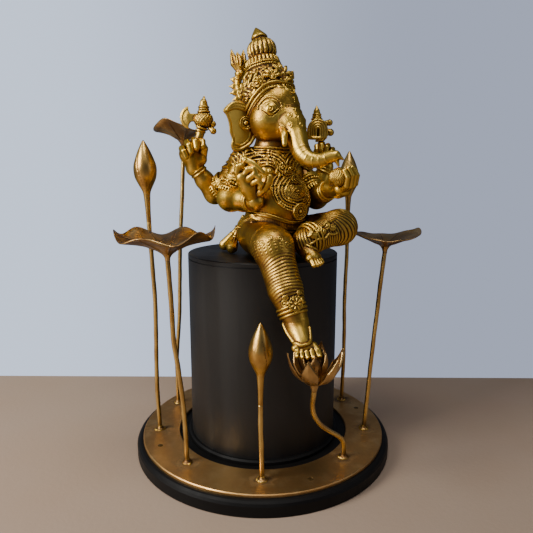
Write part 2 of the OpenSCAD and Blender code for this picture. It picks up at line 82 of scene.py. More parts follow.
class Clay:
    """A block of signed distances in mm, negative inside the metal. Every tool works on a small box of it."""

    def __init__(self, low, high, step):
        self.step = step * COARSE
        self.low = vec(*low)
        self.n = np.ceil((vec(*high) - self.low) / self.step).astype(int) + 1
        self.d = np.full(self.n, FAR, np.float32)

    def window(self, low, high):
        """The slices and coordinates of the grid inside a box, or None if the box misses the grid."""
        first = np.clip(np.floor((low - self.low) / self.step), 0, self.n).astype(int)
        last = np.clip(np.ceil((high - self.low) / self.step) + 1, 0, self.n).astype(int)
        if (last <= first).any():
            return None
        axes = [(self.low[i] + self.step * np.arange(first[i], last[i])).astype(np.float32) for i in range(3)]
        sl = tuple(slice(a, b) for a, b in zip(first, last))
        return sl, axes[0][:, None, None], axes[1][None, :, None], axes[2][None, None, :]

    def join(self, sl, d, k, carve=False):
        """Adds the distances d to the clay, or cuts them out of it, with a fillet about k mm wide."""
        old = self.d[sl]
        if carve:
            d = -d
        fillet = np.maximum(k - np.abs(old - d), 0) ** 2 / (4 * k) if k > 0 else 0
        self.d[sl] = np.maximum(old, d) + fillet if carve else np.minimum(old, d) - fillet

    def bone(self, a, b, ra, rb, k=0.0, carve=False):
        """A round bar from a to b, with radius ra to rb, blended in over k mm."""
        a, b = np.asarray(a, float), np.asarray(b, float)
        m = k + 3 * self.step + 1
        w = self.window(np.minimum(a - ra, b - rb) - m, np.maximum(a + ra, b + rb) + m)
        if w is None:
            return
        sl, x, y, z = w
        ab = b - a
        length = max(float(ab @ ab), 1e-9)
        t = np.clip(((x - a[0]) * ab[0] + (y - a[1]) * ab[1] + (z - a[2]) * ab[2]) / length, 0, 1)
        d = np.sqrt((x - a[0] - t * ab[0]) ** 2 + (y - a[1] - t * ab[1]) ** 2 + (z - a[2] - t * ab[2]) ** 2)
        self.join(sl, d - (ra + (rb - ra) * t), k, carve)

    def disc(self, c, axis, r, half, edge=0.6, k=0.3, carve=False):
        """A flat round plate with softened edges."""
        c, n = np.asarray(c, float), unit(axis)
        reach = math.hypot(r, half) + k + 2 * self.step
        w = self.window(c - reach, c + reach)
        if w is None:
            return
        sl, x, y, z = w
        x, y, z = x - c[0], y - c[1], z - c[2]
        h = x * n[0] + y * n[1] + z * n[2]
        flat = np.sqrt(np.maximum(x * x + y * y + z * z - h * h, 0)) - (r - edge)
        tall = np.abs(h) - (half - edge)
        out = np.sqrt(np.maximum(flat, 0) ** 2 + np.maximum(tall, 0) ** 2)
        self.join(sl, out + np.minimum(np.maximum(flat, tall), 0) - edge, k, carve)

    def ball(self, c, r, k=0.0, scale=None, axes=None, carve=False):
        """A ball, or an ellipsoid of radii r * scale along the three axes."""
        c = np.asarray(c, float)
        big = r * (max(scale) if scale is not None else 1)
        w = self.window(c - big - k - 3 * self.step, c + big + k + 3 * self.step)
        if w is None:
            return
        sl, x, y, z = w
        x, y, z = x - c[0], y - c[1], z - c[2]
        if scale is None:
            self.join(sl, np.sqrt(x * x + y * y + z * z) - r, k, carve)
            return
        e = np.eye(3) if axes is None else [unit(v) for v in axes]
        q = [(x * v[0] + y * v[1] + z * v[2]) / (r * s) for v, s in zip(e, scale)]
        length = np.sqrt(q[0] ** 2 + q[1] ** 2 + q[2] ** 2)
        grad = np.sqrt(sum((q[i] / (r * scale[i])) ** 2 for i in range(3)))
        self.join(sl, length * (length - 1) / np.maximum(grad, 1e-6), k, carve)

    def limb(self, joints, k=0.0):
        """Round bars one after another through [x, y, z, radius] joints."""
        for a, b in zip(joints[:-1], joints[1:]):
            self.bone(a[:3], b[:3], a[3], b[3], k)

    def wire(self, points, r, k=0.3, gap=1.2, carve=False, taper=None):
        """A wire of radius r along a smooth curve. taper gives the radius as a factor at each fraction."""
        p = smooth_path(points, gap * COARSE)
        f = [1.0 if taper is None else taper(i / (len(p) - 1)) for i in range(len(p))]
        for i in range(len(p) - 1):
            self.bone(p[i], p[i + 1], r * f[i], r * f[i + 1], k, carve)

    def beads(self, points, r, gap, k=0.2):
        """Balls of radius r along a smooth curve, about gap mm apart."""
        p = smooth_path(points, 0.4)
        run = np.concatenate([[0], np.cumsum(np.linalg.norm(np.diff(p, axis=0), axis=1))])
        count = max(2, int(round(run[-1] / gap)))
        for s in np.linspace(0, run[-1], count + 1):
            self.ball([np.interp(s, run, p[:, i]) for i in range(3)], r, k)

    def shape(self, low, high, rule, k=0.0, carve=False):
        """Joins a shape given by a rule of (x, y, z)."""
        w = self.window(vec(*low), vec(*high))
        if w is not None:
            sl, x, y, z = w
            self.join(sl, rule(x, y, z), k, carve)

    def relief(self, rule, band=3.0, low=None, high=None):
        """Raises the surface by rule(x, y, z) mm, worked out only close to the surface."""
        w = self.window(self.low if low is None else vec(*low),
                        self.low + self.step * self.n if high is None else vec(*high))
        sl, x, y, z = w
        part = self.d[sl]
        near = np.abs(part) < band
        full = [np.broadcast_to(v, part.shape)[near] for v in (x, y, z)]
        part[near] -= rule(*full).astype(np.float32)

    def sample(self, p, grid=None):
        """Distances at points (N, 3), between grid points."""
        g = self.d if grid is None else grid
        q = np.clip((np.atleast_2d(p) - self.low) / self.step, 0, self.n - 1.001)
        i = q.astype(int)
        f = q - i
        out = 0
        for dx in (0, 1):
            for dy in (0, 1):
                for dz in (0, 1):
                    weight = (np.abs(1 - dx - f[:, 0]) * np.abs(1 - dy - f[:, 1]) * np.abs(1 - dz - f[:, 2]))
                    out = out + weight * g[i[:, 0] + dx, i[:, 1] + dy, i[:, 2] + dz]
        return out

    def normal(self, p):
        """Unit normals at points (N, 3)."""
        p = np.atleast_2d(p)
        e = self.step
        g = np.stack([self.sample(p + e * a) - self.sample(p - e * a) for a in np.eye(3)], 1)
        return g / np.maximum(np.linalg.norm(g, axis=1, keepdims=True), 1e-9)

    def snap(self, points, lift=0.0):
        """The points moved onto the surface, lifted by lift mm."""
        p = np.atleast_2d(np.array(points, float))
        for _ in range(8):
            p = p - np.clip(self.sample(p), -4, 4)[:, None] * self.normal(p)
        return p + lift * self.normal(p)

    def touch(self, point, lift=0.0):
        """One point moved onto the surface."""
        return self.snap([point], lift)[0]

    def facing(self, point):
        """The direction the surface faces at one point."""
        return self.normal(point)[0]

    def blurred(self, radius):
        """The distances averaged over a box of that half width."""
        r = max(1, int(round(radius / self.step)))
        g = np.clip(self.d, -FAR, FAR)
        for axis in range(3):
            pad = [(r + 1, r) if i == axis else (0, 0) for i in range(3)]
            s = np.cumsum(np.pad(g, pad, mode="edge"), axis=axis, dtype=np.float64)
            n = g.shape[axis]
            g = ((np.take(s, range(2 * r + 1, 2 * r + 1 + n), axis) - np.take(s, range(n), axis))
                 / (2 * r + 1)).astype(np.float32)
        return g

    def piece(self, name, material, body, slot, nodes=()):
        """The mesh of the surface, in metres, with its hollows stored for the patina."""
        lift = SEAT if body == "figure" else 0
        grid = vdb.FloatGrid(FAR)
        grid.copyFromArray(self.d)
        points, quads = grid.convertToQuads(0.0)
        p = points * self.step + self.low
        hollow = np.clip(-self.sample(p, self.blurred(0.8)) / 0.2, -1, 1)
        obj = mesh_piece(name, p + [0, 0, lift], quads, material, body, slot, nodes)
        store(obj, "hollow", hollow)
        if body == "figure":
            WORKED.append((obj, self, p))
        return obj

    def cast(self, name, material, *nodes):
        """A piece of the figure that stands for those nodes."""
        self.piece(name, material, "figure", "antique_brass", nodes)


# The figure's pieces with their clay, gathered for the patina and the painted shade.
WORKED = []


def patina_and_shade():
    """Stores how far in among all the pieces of the figure every point lies: over 3 mm for the brown in its
    crevices, and over 9 mm for a painted shade where its parts crowd together.
    """
    whole = Clay((-116, -200, -94), (126, 48, 298), 1.2)
    for obj, clay, p in WORKED:
        sl, x, y, z = whole.window(clay.low, clay.low + clay.step * (clay.n - 1))
        part = clay.d
        for axis, line in enumerate((x.ravel(), y.ravel(), z.ravel())):
            q = np.clip((line - clay.low[axis]) / clay.step, 0, clay.n[axis] - 1.001)
            i = q.astype(int)
            f = (q - i).reshape([-1 if k == axis else 1 for k in range(3)]).astype(np.float32)
            part = np.take(part, i, axis) * (1 - f) + np.take(part, i + 1, axis) * f
        whole.d[sl] = np.minimum(whole.d[sl], part)
    # near, over 3 mm, gives the brown in crevices; far, over 9 mm, gives a painted shade under the arms and
    # between the legs.
    near, far = whole.blurred(3.0), whole.blurred(9.0)
    for obj, clay, p in WORKED:
        store(obj, "wide", np.clip(-whole.sample(p, near) / 1.2, -1, 1))
        store(obj, "hollow_and_shade", np.clip(-whole.sample(p, far) / 3.0, -1, 1))


def mesh_piece(name, points, faces, material, body, slot, nodes=(), smooth=True):
    """A mesh object from points in mm and faces that all have the same number of corners."""
    faces = np.asarray(faces, np.int32)
    mesh = bpy.data.meshes.new(name)
    mesh.vertices.add(len(points))
    mesh.vertices.foreach_set("co", (np.asarray(points, np.float32) * MM).ravel())
    mesh.loops.add(faces.size)
    mesh.loops.foreach_set("vertex_index", faces.ravel())
    mesh.polygons.add(len(faces))
    mesh.polygons.foreach_set("loop_start", np.arange(0, faces.size, faces.shape[1], dtype=np.int32))
    mesh.polygons.foreach_set("use_smooth", np.full(len(faces), smooth))
    mesh.update(calc_edges=True)
    mesh.validate()
    mesh.materials.append(material)
    obj = bpy.data.objects.new(name, mesh)
    bpy.context.scene.collection.objects.link(obj)
    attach(obj, body)
    if nodes:
        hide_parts(*nodes)
    return obj


def store(obj, label, values):
    """Keeps one number per point on the mesh, for its material to read."""
    data = obj.data.attributes.new(label, "FLOAT", "POINT")
    data.data.foreach_set("value", np.asarray(values, np.float32))


def sweep(name, route, radii, sides, shape=None, **how):
    """A closed round skin along a route. shape(i, angle) scales the radius of ring i."""
    p = np.asarray(route, float)
    t = np.gradient(p, axis=0)
    t /= np.linalg.norm(t, axis=1, keepdims=True)
    e1 = unit(np.cross(t[0], [0.31, 0.95, 0.05]))
    rings = []
    ang = np.linspace(0, 2 * math.pi, sides, endpoint=False)
    for i in range(len(p)):
        e1 = unit(e1 - (e1 @ t[i]) * t[i])
        e2 = np.cross(t[i], e1)
        r = radii[i] * (np.ones(sides) if shape is None else shape(i, ang))
        rings.append(p[i] + (r * np.cos(ang))[:, None] * e1 + (r * np.sin(ang))[:, None] * e2)
    points = np.vstack([np.vstack(rings), p[:1], p[-1:]])
    n, m = len(p), sides
    i, k = np.meshgrid(np.arange(n - 1), np.arange(m), indexing="ij")
    a, b = i * m + k, i * m + (k + 1) % m
    faces = np.vstack([np.stack([a, b, b + m], -1).reshape(-1, 3),
                       np.stack([a, b + m, a + m], -1).reshape(-1, 3)])
    k = np.arange(m)
    caps = np.vstack([np.stack([(k + 1) % m, k, np.full(m, n * m)], 1),
                      np.stack([(n - 1) * m + k, (n - 1) * m + (k + 1) % m, np.full(m, n * m + 1)], 1)])
    return mesh_piece(name, points, np.vstack([faces, caps]), **how)


def sheet(name, top, bottom, wrap, **how):
    """A thin plate between two grids of points (rows, columns, 3). wrap closes the columns into a ring."""
    n, m = top.shape[:2]
    points = np.vstack([top.reshape(-1, 3), bottom.reshape(-1, 3)])
    span = m if wrap else m - 1
    i, k = np.meshgrid(np.arange(n - 1), np.arange(span), indexing="ij")
    a, b = i * m + k, i * m + (k + 1) % m
    upper = np.stack([a, a + m, b + m, b], -1).reshape(-1, 4)
    lower = upper[:, ::-1] + n * m
    k = np.arange(span)
    a, b = (n - 1) * m + k, (n - 1) * m + (k + 1) % m
    outer = np.stack([a, a + n * m, b + n * m, b], -1)
    a, b = k, (k + 1) % m
    inner = np.stack([b, b + n * m, a + n * m, a], -1)
    faces = [upper, lower, outer, inner]
    if not wrap:
        i = np.arange(n - 1) * m
        faces.append(np.stack([i, i + n * m, i + m + n * m, i + m], -1))
        i = i + m - 1
        faces.append(np.stack([i + m, i + m + n * m, i + n * m, i], -1))
    return mesh_piece(name, points, np.vstack(faces), **how)


# ---------------------------------------------------------------- materials


class Nodes:
    """A tree of shader nodes, built node by node."""

    def __init__(self, tree):
        self.tree = tree

    def add(self, kind, **settings):
        node = self.tree.nodes.new(kind)
        for key, value in settings.items():
            setattr(node, key, value)
        return node

    def plug(self, value, socket):
        if isinstance(value, bpy.types.NodeSocket):
            self.tree.links.new(value, socket)
        else:
            socket.default_value = value

    def split(self, vector):
        node = self.add("ShaderNodeSeparateXYZ")
        self.plug(vector, node.inputs[0])
        return node.outputs

    def math(self, op, a, b=0.0):
        node = self.add("ShaderNodeMath", operation=op)
        self.plug(a, node.inputs[0])
        self.plug(b, node.inputs[1])
        return node.outputs[0]

    def span(self, value, low, high, to_low=0.0, to_high=1.0):
        node = self.add("ShaderNodeMapRange", interpolation_type="SMOOTHSTEP")
        self.plug(value, node.inputs["Value"])
        node.inputs["From Min"].default_value = low
        node.inputs["From Max"].default_value = high
        node.inputs["To Min"].default_value = to_low
        node.inputs["To Max"].default_value = to_high
        return node.outputs["Result"]

    def blend(self, fac, a, b):
        node = self.add("ShaderNodeMix", data_type="RGBA")
        self.plug(fac, node.inputs[0])
        self.plug(a, node.inputs[6])
        self.plug(b, node.inputs[7])
        return node.outputs[2]

    def total(self, first, *others):
        for value in others:
            first = self.math("ADD", first, value)
        return first

    def sway(self, value, width):
        """A noise between 0 and 1, turned into a push of up to half that width either way."""
        return self.math("MULTIPLY", self.math("SUBTRACT", value, 0.5), width)


class Paint(Nodes):
    """A procedural material on the object's own coordinates."""

    def __init__(self, name):
        self.mat = bpy.data.materials.new(name)
        self.mat.use_nodes = True
        super().__init__(self.mat.node_tree)
        self.bsdf = self.tree.nodes["Principled BSDF"]
        self.place = self.add("ShaderNodeTexCoord").outputs["Object"]

    def noise(self, scale, detail=3.0, rough=0.55, stretch=None):
        node = self.add("ShaderNodeTexNoise")
        where = self.place
        if stretch:
            turn = self.add("ShaderNodeMapping")
            turn.inputs["Scale"].default_value = stretch
            self.plug(where, turn.inputs["Vector"])
            where = turn.outputs["Vector"]
        self.plug(where, node.inputs["Vector"])
        node.inputs["Scale"].default_value = scale
        node.inputs["Detail"].default_value = detail
        node.inputs["Roughness"].default_value = rough
        return node.outputs["Fac"]

    def stored(self, label):
        return self.add("ShaderNodeAttribute", attribute_name=label).outputs["Fac"]

    def bump(self, parts):
        """parts: (height, depth in metres) pairs."""
        last = None
        for height, depth in parts:
            node = self.add("ShaderNodeBump")
            node.inputs["Strength"].default_value = 1.0
            node.inputs["Distance"].default_value = depth
            self.plug(height, node.inputs["Height"])
            if last is not None:
                self.plug(last, node.inputs["Normal"])
            last = node.outputs["Normal"]
        self.plug(last, self.bsdf.inputs["Normal"])

    def finish(self, color, rough, metal):
        self.plug(color, self.bsdf.inputs["Base Color"])
        self.plug(rough, self.bsdf.inputs["Roughness"])
        self.plug(metal, self.bsdf.inputs["Metallic"])
        return self.mat


def rgb(r, g, b):
    return (r, g, b, 1.0)


# Cast brass where hands rub it, which also stands for painted light on the open high points, and where the
# patina and a painted shade start.
RUBBED_AND_LIT = rgb(0.82, 0.55, 0.10)
BROWN_PATINA_AND_SHADE = rgb(0.25, 0.118, 0.045)


def cast_brass(name, light, warm, dark, rough, brown_spread=0.0):
    """Cast brass, bright on its rubbed, open high points (wear and painted light), brown and dark in its
    hollows and where the figure's parts crowd together (tarnish and painted shade). The last argument spreads
    the brown further when it is higher.
    """
    p = Paint(name)
    cloud = p.noise(38, 3)
    grain = p.noise(420, 4, 0.65)
    fine = p.noise(1900, 2)
    # The fine hollows and the 3 mm crevices stand for patina; the 9 mm measure is a painted shade where the
    # figure's parts crowd together.
    shares = ("hollow", 0.55), ("wide", 0.5), ("hollow_and_shade", 0.45)
    hollows = [p.math("MULTIPLY", p.stored(label), share) for label, share in shares]
    hollow_and_shade = p.total(*hollows, p.sway(grain, 0.5), p.sway(cloud, 0.55))
    # Painted: the first two masks brown and darken hollows and crowded places (patina and painted shade), the
    # third brightens open high points (rubbed wear and painted light).
    shade = p.span(hollow_and_shade, -0.08 - brown_spread, 0.30 - brown_spread)
    recess_and_shade = p.span(hollow_and_shade, 0.14 - brown_spread, 0.60 - brown_spread)
    worn_and_lit = p.span(hollow_and_shade, -0.10, -0.42)
    tone = p.blend(p.span(cloud, 0.36, 0.66), light, warm)
    tone = p.blend(p.math("MULTIPLY", worn_and_lit, 0.6), tone, RUBBED_AND_LIT)
    tone = p.blend(p.math("MULTIPLY", shade, 0.8), tone, BROWN_PATINA_AND_SHADE)
    color = p.blend(recess_and_shade, tone, dark)
    shine = p.total(p.span(recess_and_shade, 0, 1, rough, rough + 0.27), p.math("MULTIPLY", grain, 0.14))
    metal = p.span(recess_and_shade, 0.2, 1, 1.0, 0.55)
    p.bsdf.inputs["Specular Tint"].default_value = rgb(1.0, 0.80, 0.40)
    p.bump([(grain, 0.00022), (fine, 0.00006)])
    return p.finish(color, shine, metal)


def rod_brass():
    """Drawn brass rod: fine lines along it, dark heat stains where it's brazed to the plate."""
    p = Paint("rod brass")
    lines = p.noise(900, 2, 0.5, (1, 1, 0.03))
    cloud = p.noise(26, 3)
    height = p.total(p.split(p.place)["Z"], p.sway(cloud, 0.03))
    foot = p.span(height, (PLATE_TOP + 2) * MM, (PLATE_TOP + 22) * MM, 1.0, 0.0)
    tone = p.blend(p.span(cloud, 0.35, 0.7), rgb(0.76, 0.53, 0.18), rgb(0.52, 0.32, 0.10))
    color = p.blend(p.math("MULTIPLY", foot, 0.8), tone, rgb(0.075, 0.036, 0.014))
    p.bump([(lines, 0.00012), (p.noise(260, 3), 0.00016)])
    return p.finish(color, p.total(p.span(lines, 0.3, 0.7, 0.24, 0.38), p.math("MULTIPLY", foot, 0.2)), 1.0)


def leaf_brass():
    """Beaten sheet: cloudy, softly dented, brown in the veins, and darker where the stored hollows carry
    painted shade, under the leaves and at the feet of the petals.
    """
    p = Paint("leaf brass")
    cloud = p.noise(30, 4)
    dents = p.noise(120, 2)
    recess_and_shade = p.span(p.total(p.stored("hollow"), p.sway(cloud, 0.7)), 0.1, 0.75)
    tone = p.blend(p.span(cloud, 0.32, 0.64), rgb(0.62, 0.40, 0.15), rgb(0.32, 0.18, 0.065))
    color = p.blend(recess_and_shade, tone, rgb(0.085, 0.042, 0.017))
    p.bump([(dents, 0.0005), (p.noise(700, 3), 0.0001)])
    return p.finish(color, p.span(dents, 0.3, 0.7, 0.27, 0.42), p.span(recess_and_shade, 0, 1, 1.0, 0.7))


def plate_brass(feet):
    """The aged ring plate: cloudy, with brown stains round every brazed foot."""
    p = Paint("plate brass")
    cloud = p.noise(14, 5, 0.6)
    wipe = p.noise(60, 4, 0.6, (1, 1, 0.2))
    fine = p.noise(650, 3)
    near = None
    for x, y, _ in feet:
        gap = p.add("ShaderNodeVectorMath", operation="DISTANCE")
        p.plug(p.place, gap.inputs[0])
        gap.inputs[1].default_value = (x * MM, y * MM, PLATE_TOP * MM)
        gap = gap.outputs["Value"]
        near = gap if near is None else p.math("MINIMUM", near, gap)
    ragged = p.total(near, p.sway(p.noise(75, 5, 0.7), 0.035))
    brown_spread = p.span(ragged, 0.004, 0.021, 1.0, 0.0)
    tone = p.blend(p.span(cloud, 0.3, 0.7), rgb(0.76, 0.45, 0.16), rgb(0.47, 0.25, 0.085))
    tone = p.blend(p.math("MULTIPLY", p.span(wipe, 0.45, 0.75), 0.5), tone, rgb(0.84, 0.56, 0.25))
    color = p.blend(p.math("MULTIPLY", brown_spread, 0.85), tone, rgb(0.055, 0.028, 0.012))
    rough = p.total(p.span(cloud, 0.3, 0.7, 0.34, 0.5), p.math("MULTIPLY", brown_spread, 0.15))
    p.bump([(wipe, 0.0003), (fine, 0.00007)])
    return p.finish(color, rough, p.span(brown_spread, 0, 1, 1.0, 0.6))


def black_lacquer(name, shine):
    """Satin black lacquer on turned wood: faint grain, dust and rubbing."""
    p = Paint(name)
    grain = p.noise(45, 5, 0.6, (1, 1, 0.12))
    dust = p.noise(1300, 2, 0.7)
    haze = p.noise(9, 3)
    color = p.blend(p.span(dust, 0.66, 0.8), rgb(0.0045, 0.0042, 0.0042), rgb(0.03, 0.028, 0.026))
    color = p.blend(p.math("MULTIPLY", p.span(haze, 0.4, 0.8), 0.35), color, rgb(0.012, 0.011, 0.0105))
    p.bump([(grain, 0.00018), (dust, 0.00003)])
    p.bsdf.inputs["Specular IOR Level"].default_value = shine
    return p.finish(color, p.total(p.span(grain, 0.3, 0.7, 0.40, 0.52), p.math("MULTIPLY", haze, 0.08)), 0.0)


def zinc():
    """Zinc plating, with its spangle."""
    p = Paint("zinc steel")
    spangle = p.add("ShaderNodeTexVoronoi")
    p.plug(p.place, spangle.inputs["Vector"])
    spangle.inputs["Scale"].default_value = 400
    tone = p.blend(spangle.outputs["Distance"], rgb(0.52, 0.53, 0.54), rgb(0.36, 0.37, 0.39))
    p.bump([(p.noise(900, 3), 0.00008)])
    return p.finish(tone, p.span(p.noise(200, 3), 0.3, 0.7, 0.3, 0.48), 1.0)


# ---------------------------------------------------------------- the stand

# Stem routes: middle of the rod, from the plate up, in mm.
ROUTES = {
    "left_bud": [(-147, -22, 18), (-149, -22, 90), (-148, -22, 160), (-147, -22, 215), (-150, -22, 290),
                 (-151, -22, 321)],
    "right_bud": [(126, 78, 18), (128, 78, 87), (127, 78, 190), (128, 78, 250), (128, 78, 312)],
    "front_bud": [(2, -143, 18), (1, -143, 60), (0, -143, 90), (0, -143, 120)],
    "left_leaf": [(-94, -106, 18), (-96, -106, 85), (-101, -106, 144), (-106, -106, 185), (-108, -106, 242),
                  (-110, -106, 284)],
    "right_leaf": [(145, -17, 18), (151, -17, 106), (159, -17, 214), (164, -17, 270), (165, -17, 280)],
    "back_leaf": [(-137, 64, 18), (-137, 64, 94), (-131, 64, 168), (-126, 64, 282), (-120, 64, 370),
                  (-117, 64, 422)],
    "lotus": [(106, -92, 18), (105, -94, 42), (99, -100, 56), (84, -112, 71), (72, -125, 86), (63, -137, 104),
              (60, -147, 121), (60, -157, 138), (60, -163, 150)],
}
FEET = [route[0] for route in ROUTES.values()]

BRASS = cast_brass("antique brass", rgb(0.58, 0.355, 0.052), rgb(0.37, 0.20, 0.036),
                   rgb(0.048, 0.024, 0.012), 0.27)
# A darker, browner copy of the brass for the legs and feet: more patina, and a painted shade on the parts below
# the belly.
CLOTH_PATINA_AND_SHADE = cast_brass("cloth brass, browned, with painted shade", rgb(0.45, 0.25, 0.045), rgb(0.27, 0.137, 0.032), rgb(0.034, 0.016, 0.009),
                   0.31, brown_spread=0.12)
ORNAMENT = cast_brass("ornament brass", rgb(0.43, 0.24, 0.045), rgb(0.255, 0.13, 0.032),
                      rgb(0.032, 0.016, 0.010), 0.30, brown_spread=0.14)
BUD_BRASS = cast_brass("bud brass", rgb(0.66, 0.42, 0.12), rgb(0.50, 0.28, 0.075), rgb(0.08, 0.038, 0.016),
                       0.24, brown_spread=-0.05)
BEAD_BRASS = cast_brass("bead brass", rgb(0.50, 0.31, 0.10), rgb(0.28, 0.15, 0.045),
                        rgb(0.02, 0.011, 0.006), 0.36, brown_spread=0.22)
ROD = rod_brass()
LEAF = leaf_brass()
PLATE = plate_brass(FEET)
LACQUER = black_lacquer("black lacquer", 0.55)
# The base disc and the pedestal's foot get a copy of the same lacquer with much weaker reflections, so they
# read darker than the drum: a painted shade.
SHADED_BASE_LACQUER = black_lacquer("base lacquer in painted shade", 0.15)
ZINC = zinc()

FINISHES = {LACQUER: ("pedestal_drum", "pedestal_top"), SHADED_BASE_LACQUER: ("base_disc", "pedestal_foot"),
            ZINC: ("pedestal_bolts",), PLATE: ("ring_plate",), ROD: ("plate_screws", "locating_pegs"), }
for finish, names in FINISHES.items():
    for node in names:
        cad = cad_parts[node]
        if not cad.material_slots:
            cad.data.materials.append(finish)
        for place in cad.material_slots:
            place.material = finish

ROD_RADIUS = 3.0
ROD_FINISH = dict(material=ROD, body="stand", slot="bright_brass")
LEAF_FINISH = dict(material=LEAF, body="stand", slot="leaf_brass")


def wobble(s, seed):
    """A slow wander between -1 and 1, for hand-made rods."""
    return 0.6 * np.sin(s * 0.045 + seed) + 0.4 * np.sin(s * 0.11 + 2.3 * seed)


def rod_piece(name, seed):
    """A stem, straight at both ends and a little wavy and uneven between them."""
    p = smooth_path(ROUTES[name], 2.5)
    s = p[:, 2] - p[0, 2]
    inside = np.minimum(1, s / 20) * np.minimum(1, (s[-1] - s) / 20)
    p[:, 0] += 0.25 * inside * wobble(s, seed)
    p[:, 1] += 0.25 * inside * wobble(s, seed + 4)
    radii = ROD_RADIUS + 0.09 * np.sin(s * 0.21 + seed)
    return sweep(name + "_rod", p, radii, 28, nodes=(name + "_stem",), **ROD_FINISH)


def tip_of(name):
    """The end of a stem and the direction it points in."""
    p = smooth_path(ROUTES[name], 2.5)
    return p[-1], unit(p[-1] - p[-2])


def bud_piece(name, scale, turn):
    """A closed bud: the rod swells into wrapped petals that meet in a point."""
    petals, calyx, length = 3, 42, 64
    base, aim = tip_of(name)
    # Radius of the bud by height above the rod's tip.
    profile = [(0, 3.15), (10, 3.25), (20, 3.6), (30, 4.1), (38, 4.8), (42, 6.0), (46, 8.0), (52, 11.0),
               (57, 13.2), (62, 14.4), (69, 15.0), (75, 14.4), (81, 12.6), (87, 10.4), (93, 7.9), (98, 5.4),
               (102, 3.3), (105.4, 1.2), (106.2, 0.35)]
    fine = smooth_path([(h, r, 0) for h, r in profile], 0.8)
    h, r = fine[:, 0] * scale, np.maximum(fine[:, 1], 0.2) * scale
    route = base + h[:, None] * aim
    seams = []

    def skin(i, ang):
        f = np.clip((fine[i, 0] - calyx) / length, 0, 1)
        swell = math.sin(math.pi * min(1, f)) ** 0.7 if 0 < f < 1 else 0
        edge = (ang * petals / (2 * math.pi) + turn + 0.42 * f) % 1
        lap = np.clip(1 - edge / 0.06, 0, 1)
        ridge = np.exp(-((edge - 0.5) / 0.07) ** 2)
        seams.append(lap * swell)
        return 1 + swell * (0.012 * np.cos(petals * ang + turn) - 0.045 * lap + 0.012 * ridge)

    obj = sweep(name + "_flower", route, r, 96, skin, nodes=(name,), material=BUD_BRASS, body="stand",
                slot="bright_brass")
    store(obj, "hollow", np.concatenate([np.concatenate(seams) * 0.9, [0, 0]]))


def leaf_piece(name, rim_r, depth, wave, waves, phase, curl):
    """A beaten round leaf: a funnel on the rod, veins pressed in, the rim waved and curled over.

    Its rim rises depth mm over the hub, and wave mm more or less, that many waves round. curl gives the
    rim's roll by angle.
    """
    base = tip_of(name)[0]
    n, m = ((60, 220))
    hub, veins, rise, skin = 0.16, 9, 9, 2.0
    q = (hub + (1 - hub) * np.linspace(0, 1, n) ** 0.85)[:, None]
    a = np.linspace(0, 2 * math.pi, m, endpoint=False)[None, :]
    f = (q - hub) / (1 - hub)
    ph = math.radians(phase)
    from_vein = np.abs(((a * veins / (2 * math.pi) + 0.3) % 1) - 0.5)
    groove = np.exp(-(from_vein * (0.25 + 1.2 * f) * rim_r * 0.7 / 1.1) ** 2)
    groove = groove * np.clip(f * 6, 0, 1) * np.clip((1 - f) * 5, 0, 1)
    r = rim_r * q * (1 + 0.05 * (q - hub) * np.sin(2 * a + ph))
    z = rise + depth * f ** 0.75 + wave * f ** 2 * np.sin(waves * a + ph)
    z = z + 0.5 * f * np.sin(veins * a + 1.1) - 0.7 * groove
    lip = np.clip((f - 0.86) / 0.14, 0, 1)
    roll = curl(a)
    z = z + roll * lip ** 1.5 * 2.2
    r = r - np.abs(roll) * lip ** 2 * 1.6

    def face(r, z):
        return np.stack(np.broadcast_arrays(base[0] + r * np.cos(a), base[1] + r * np.sin(a), base[2] + z),
                        -1)
    thin = 1.9 - 0.5 * f
    obj = sheet(name + "_sheet", face(r, z + skin), face(r - 0.2, z + skin - thin - 0.5 * groove), True,
                nodes=(name,), **LEAF_FINISH)
    # The veins are browned and the rolled rim lighter; the whole underside is darker, a painted shade.
    hollow = np.broadcast_to(0.9 * groove - 0.35 * lip, (n, m)).ravel()
    store(obj, "hollow", np.concatenate([hollow, 0.2 * hollow + 0.25]))
    neck = np.linspace(-1, 12.5, 28)
    grow = np.clip(neck / 10, 0, 1)
    sweep(name + "_neck", [base + vec(0, 0, h) for h in neck], 3.15 + (hub * rim_r - 2.4) * grow ** 2.2, 40,
          **LEAF_FINISH)


def braze_beads():
    """The lumps of filler that hold every rod to the plate."""
    clay = Clay((-162, -156, 17), (156, 90, 32), 0.8)
    rng = np.random.default_rng(7)
    for foot in FEET:
        c = vec(foot[0], foot[1], PLATE_TOP)
        clay.ball(c, 6.6, 0.5, (1, 1, 0.42))
        clay.bone(c, c + vec(0, 0, 4.2), 4.3, 3.3, 2.0)
        for _ in range(7):
            turn = rng.uniform(0, 2 * math.pi)
            out = rng.uniform(3.5, 6.5)
            clay.ball(c + vec(out * math.cos(turn), out * math.sin(turn), 0.2), rng.uniform(1.2, 2.2), 1.2)
    clay.piece("braze_lumps", BEAD_BRASS, "stand", "bright_brass", ("braze_beads",))


def turned(points, rise, turn):
    """Points of a petal lying along X, tipped up by rise and turned about Z (degrees)."""
    r, t = math.radians(rise), math.radians(turn)
    x, y, z = points[..., 0], points[..., 1], points[..., 2]
    x, z = x * math.cos(r) - z * math.sin(r), x * math.sin(r) + z * math.cos(r)
    return np.stack([x * math.cos(t) - y * math.sin(t), x * math.sin(t) + y * math.cos(t), z], -1)


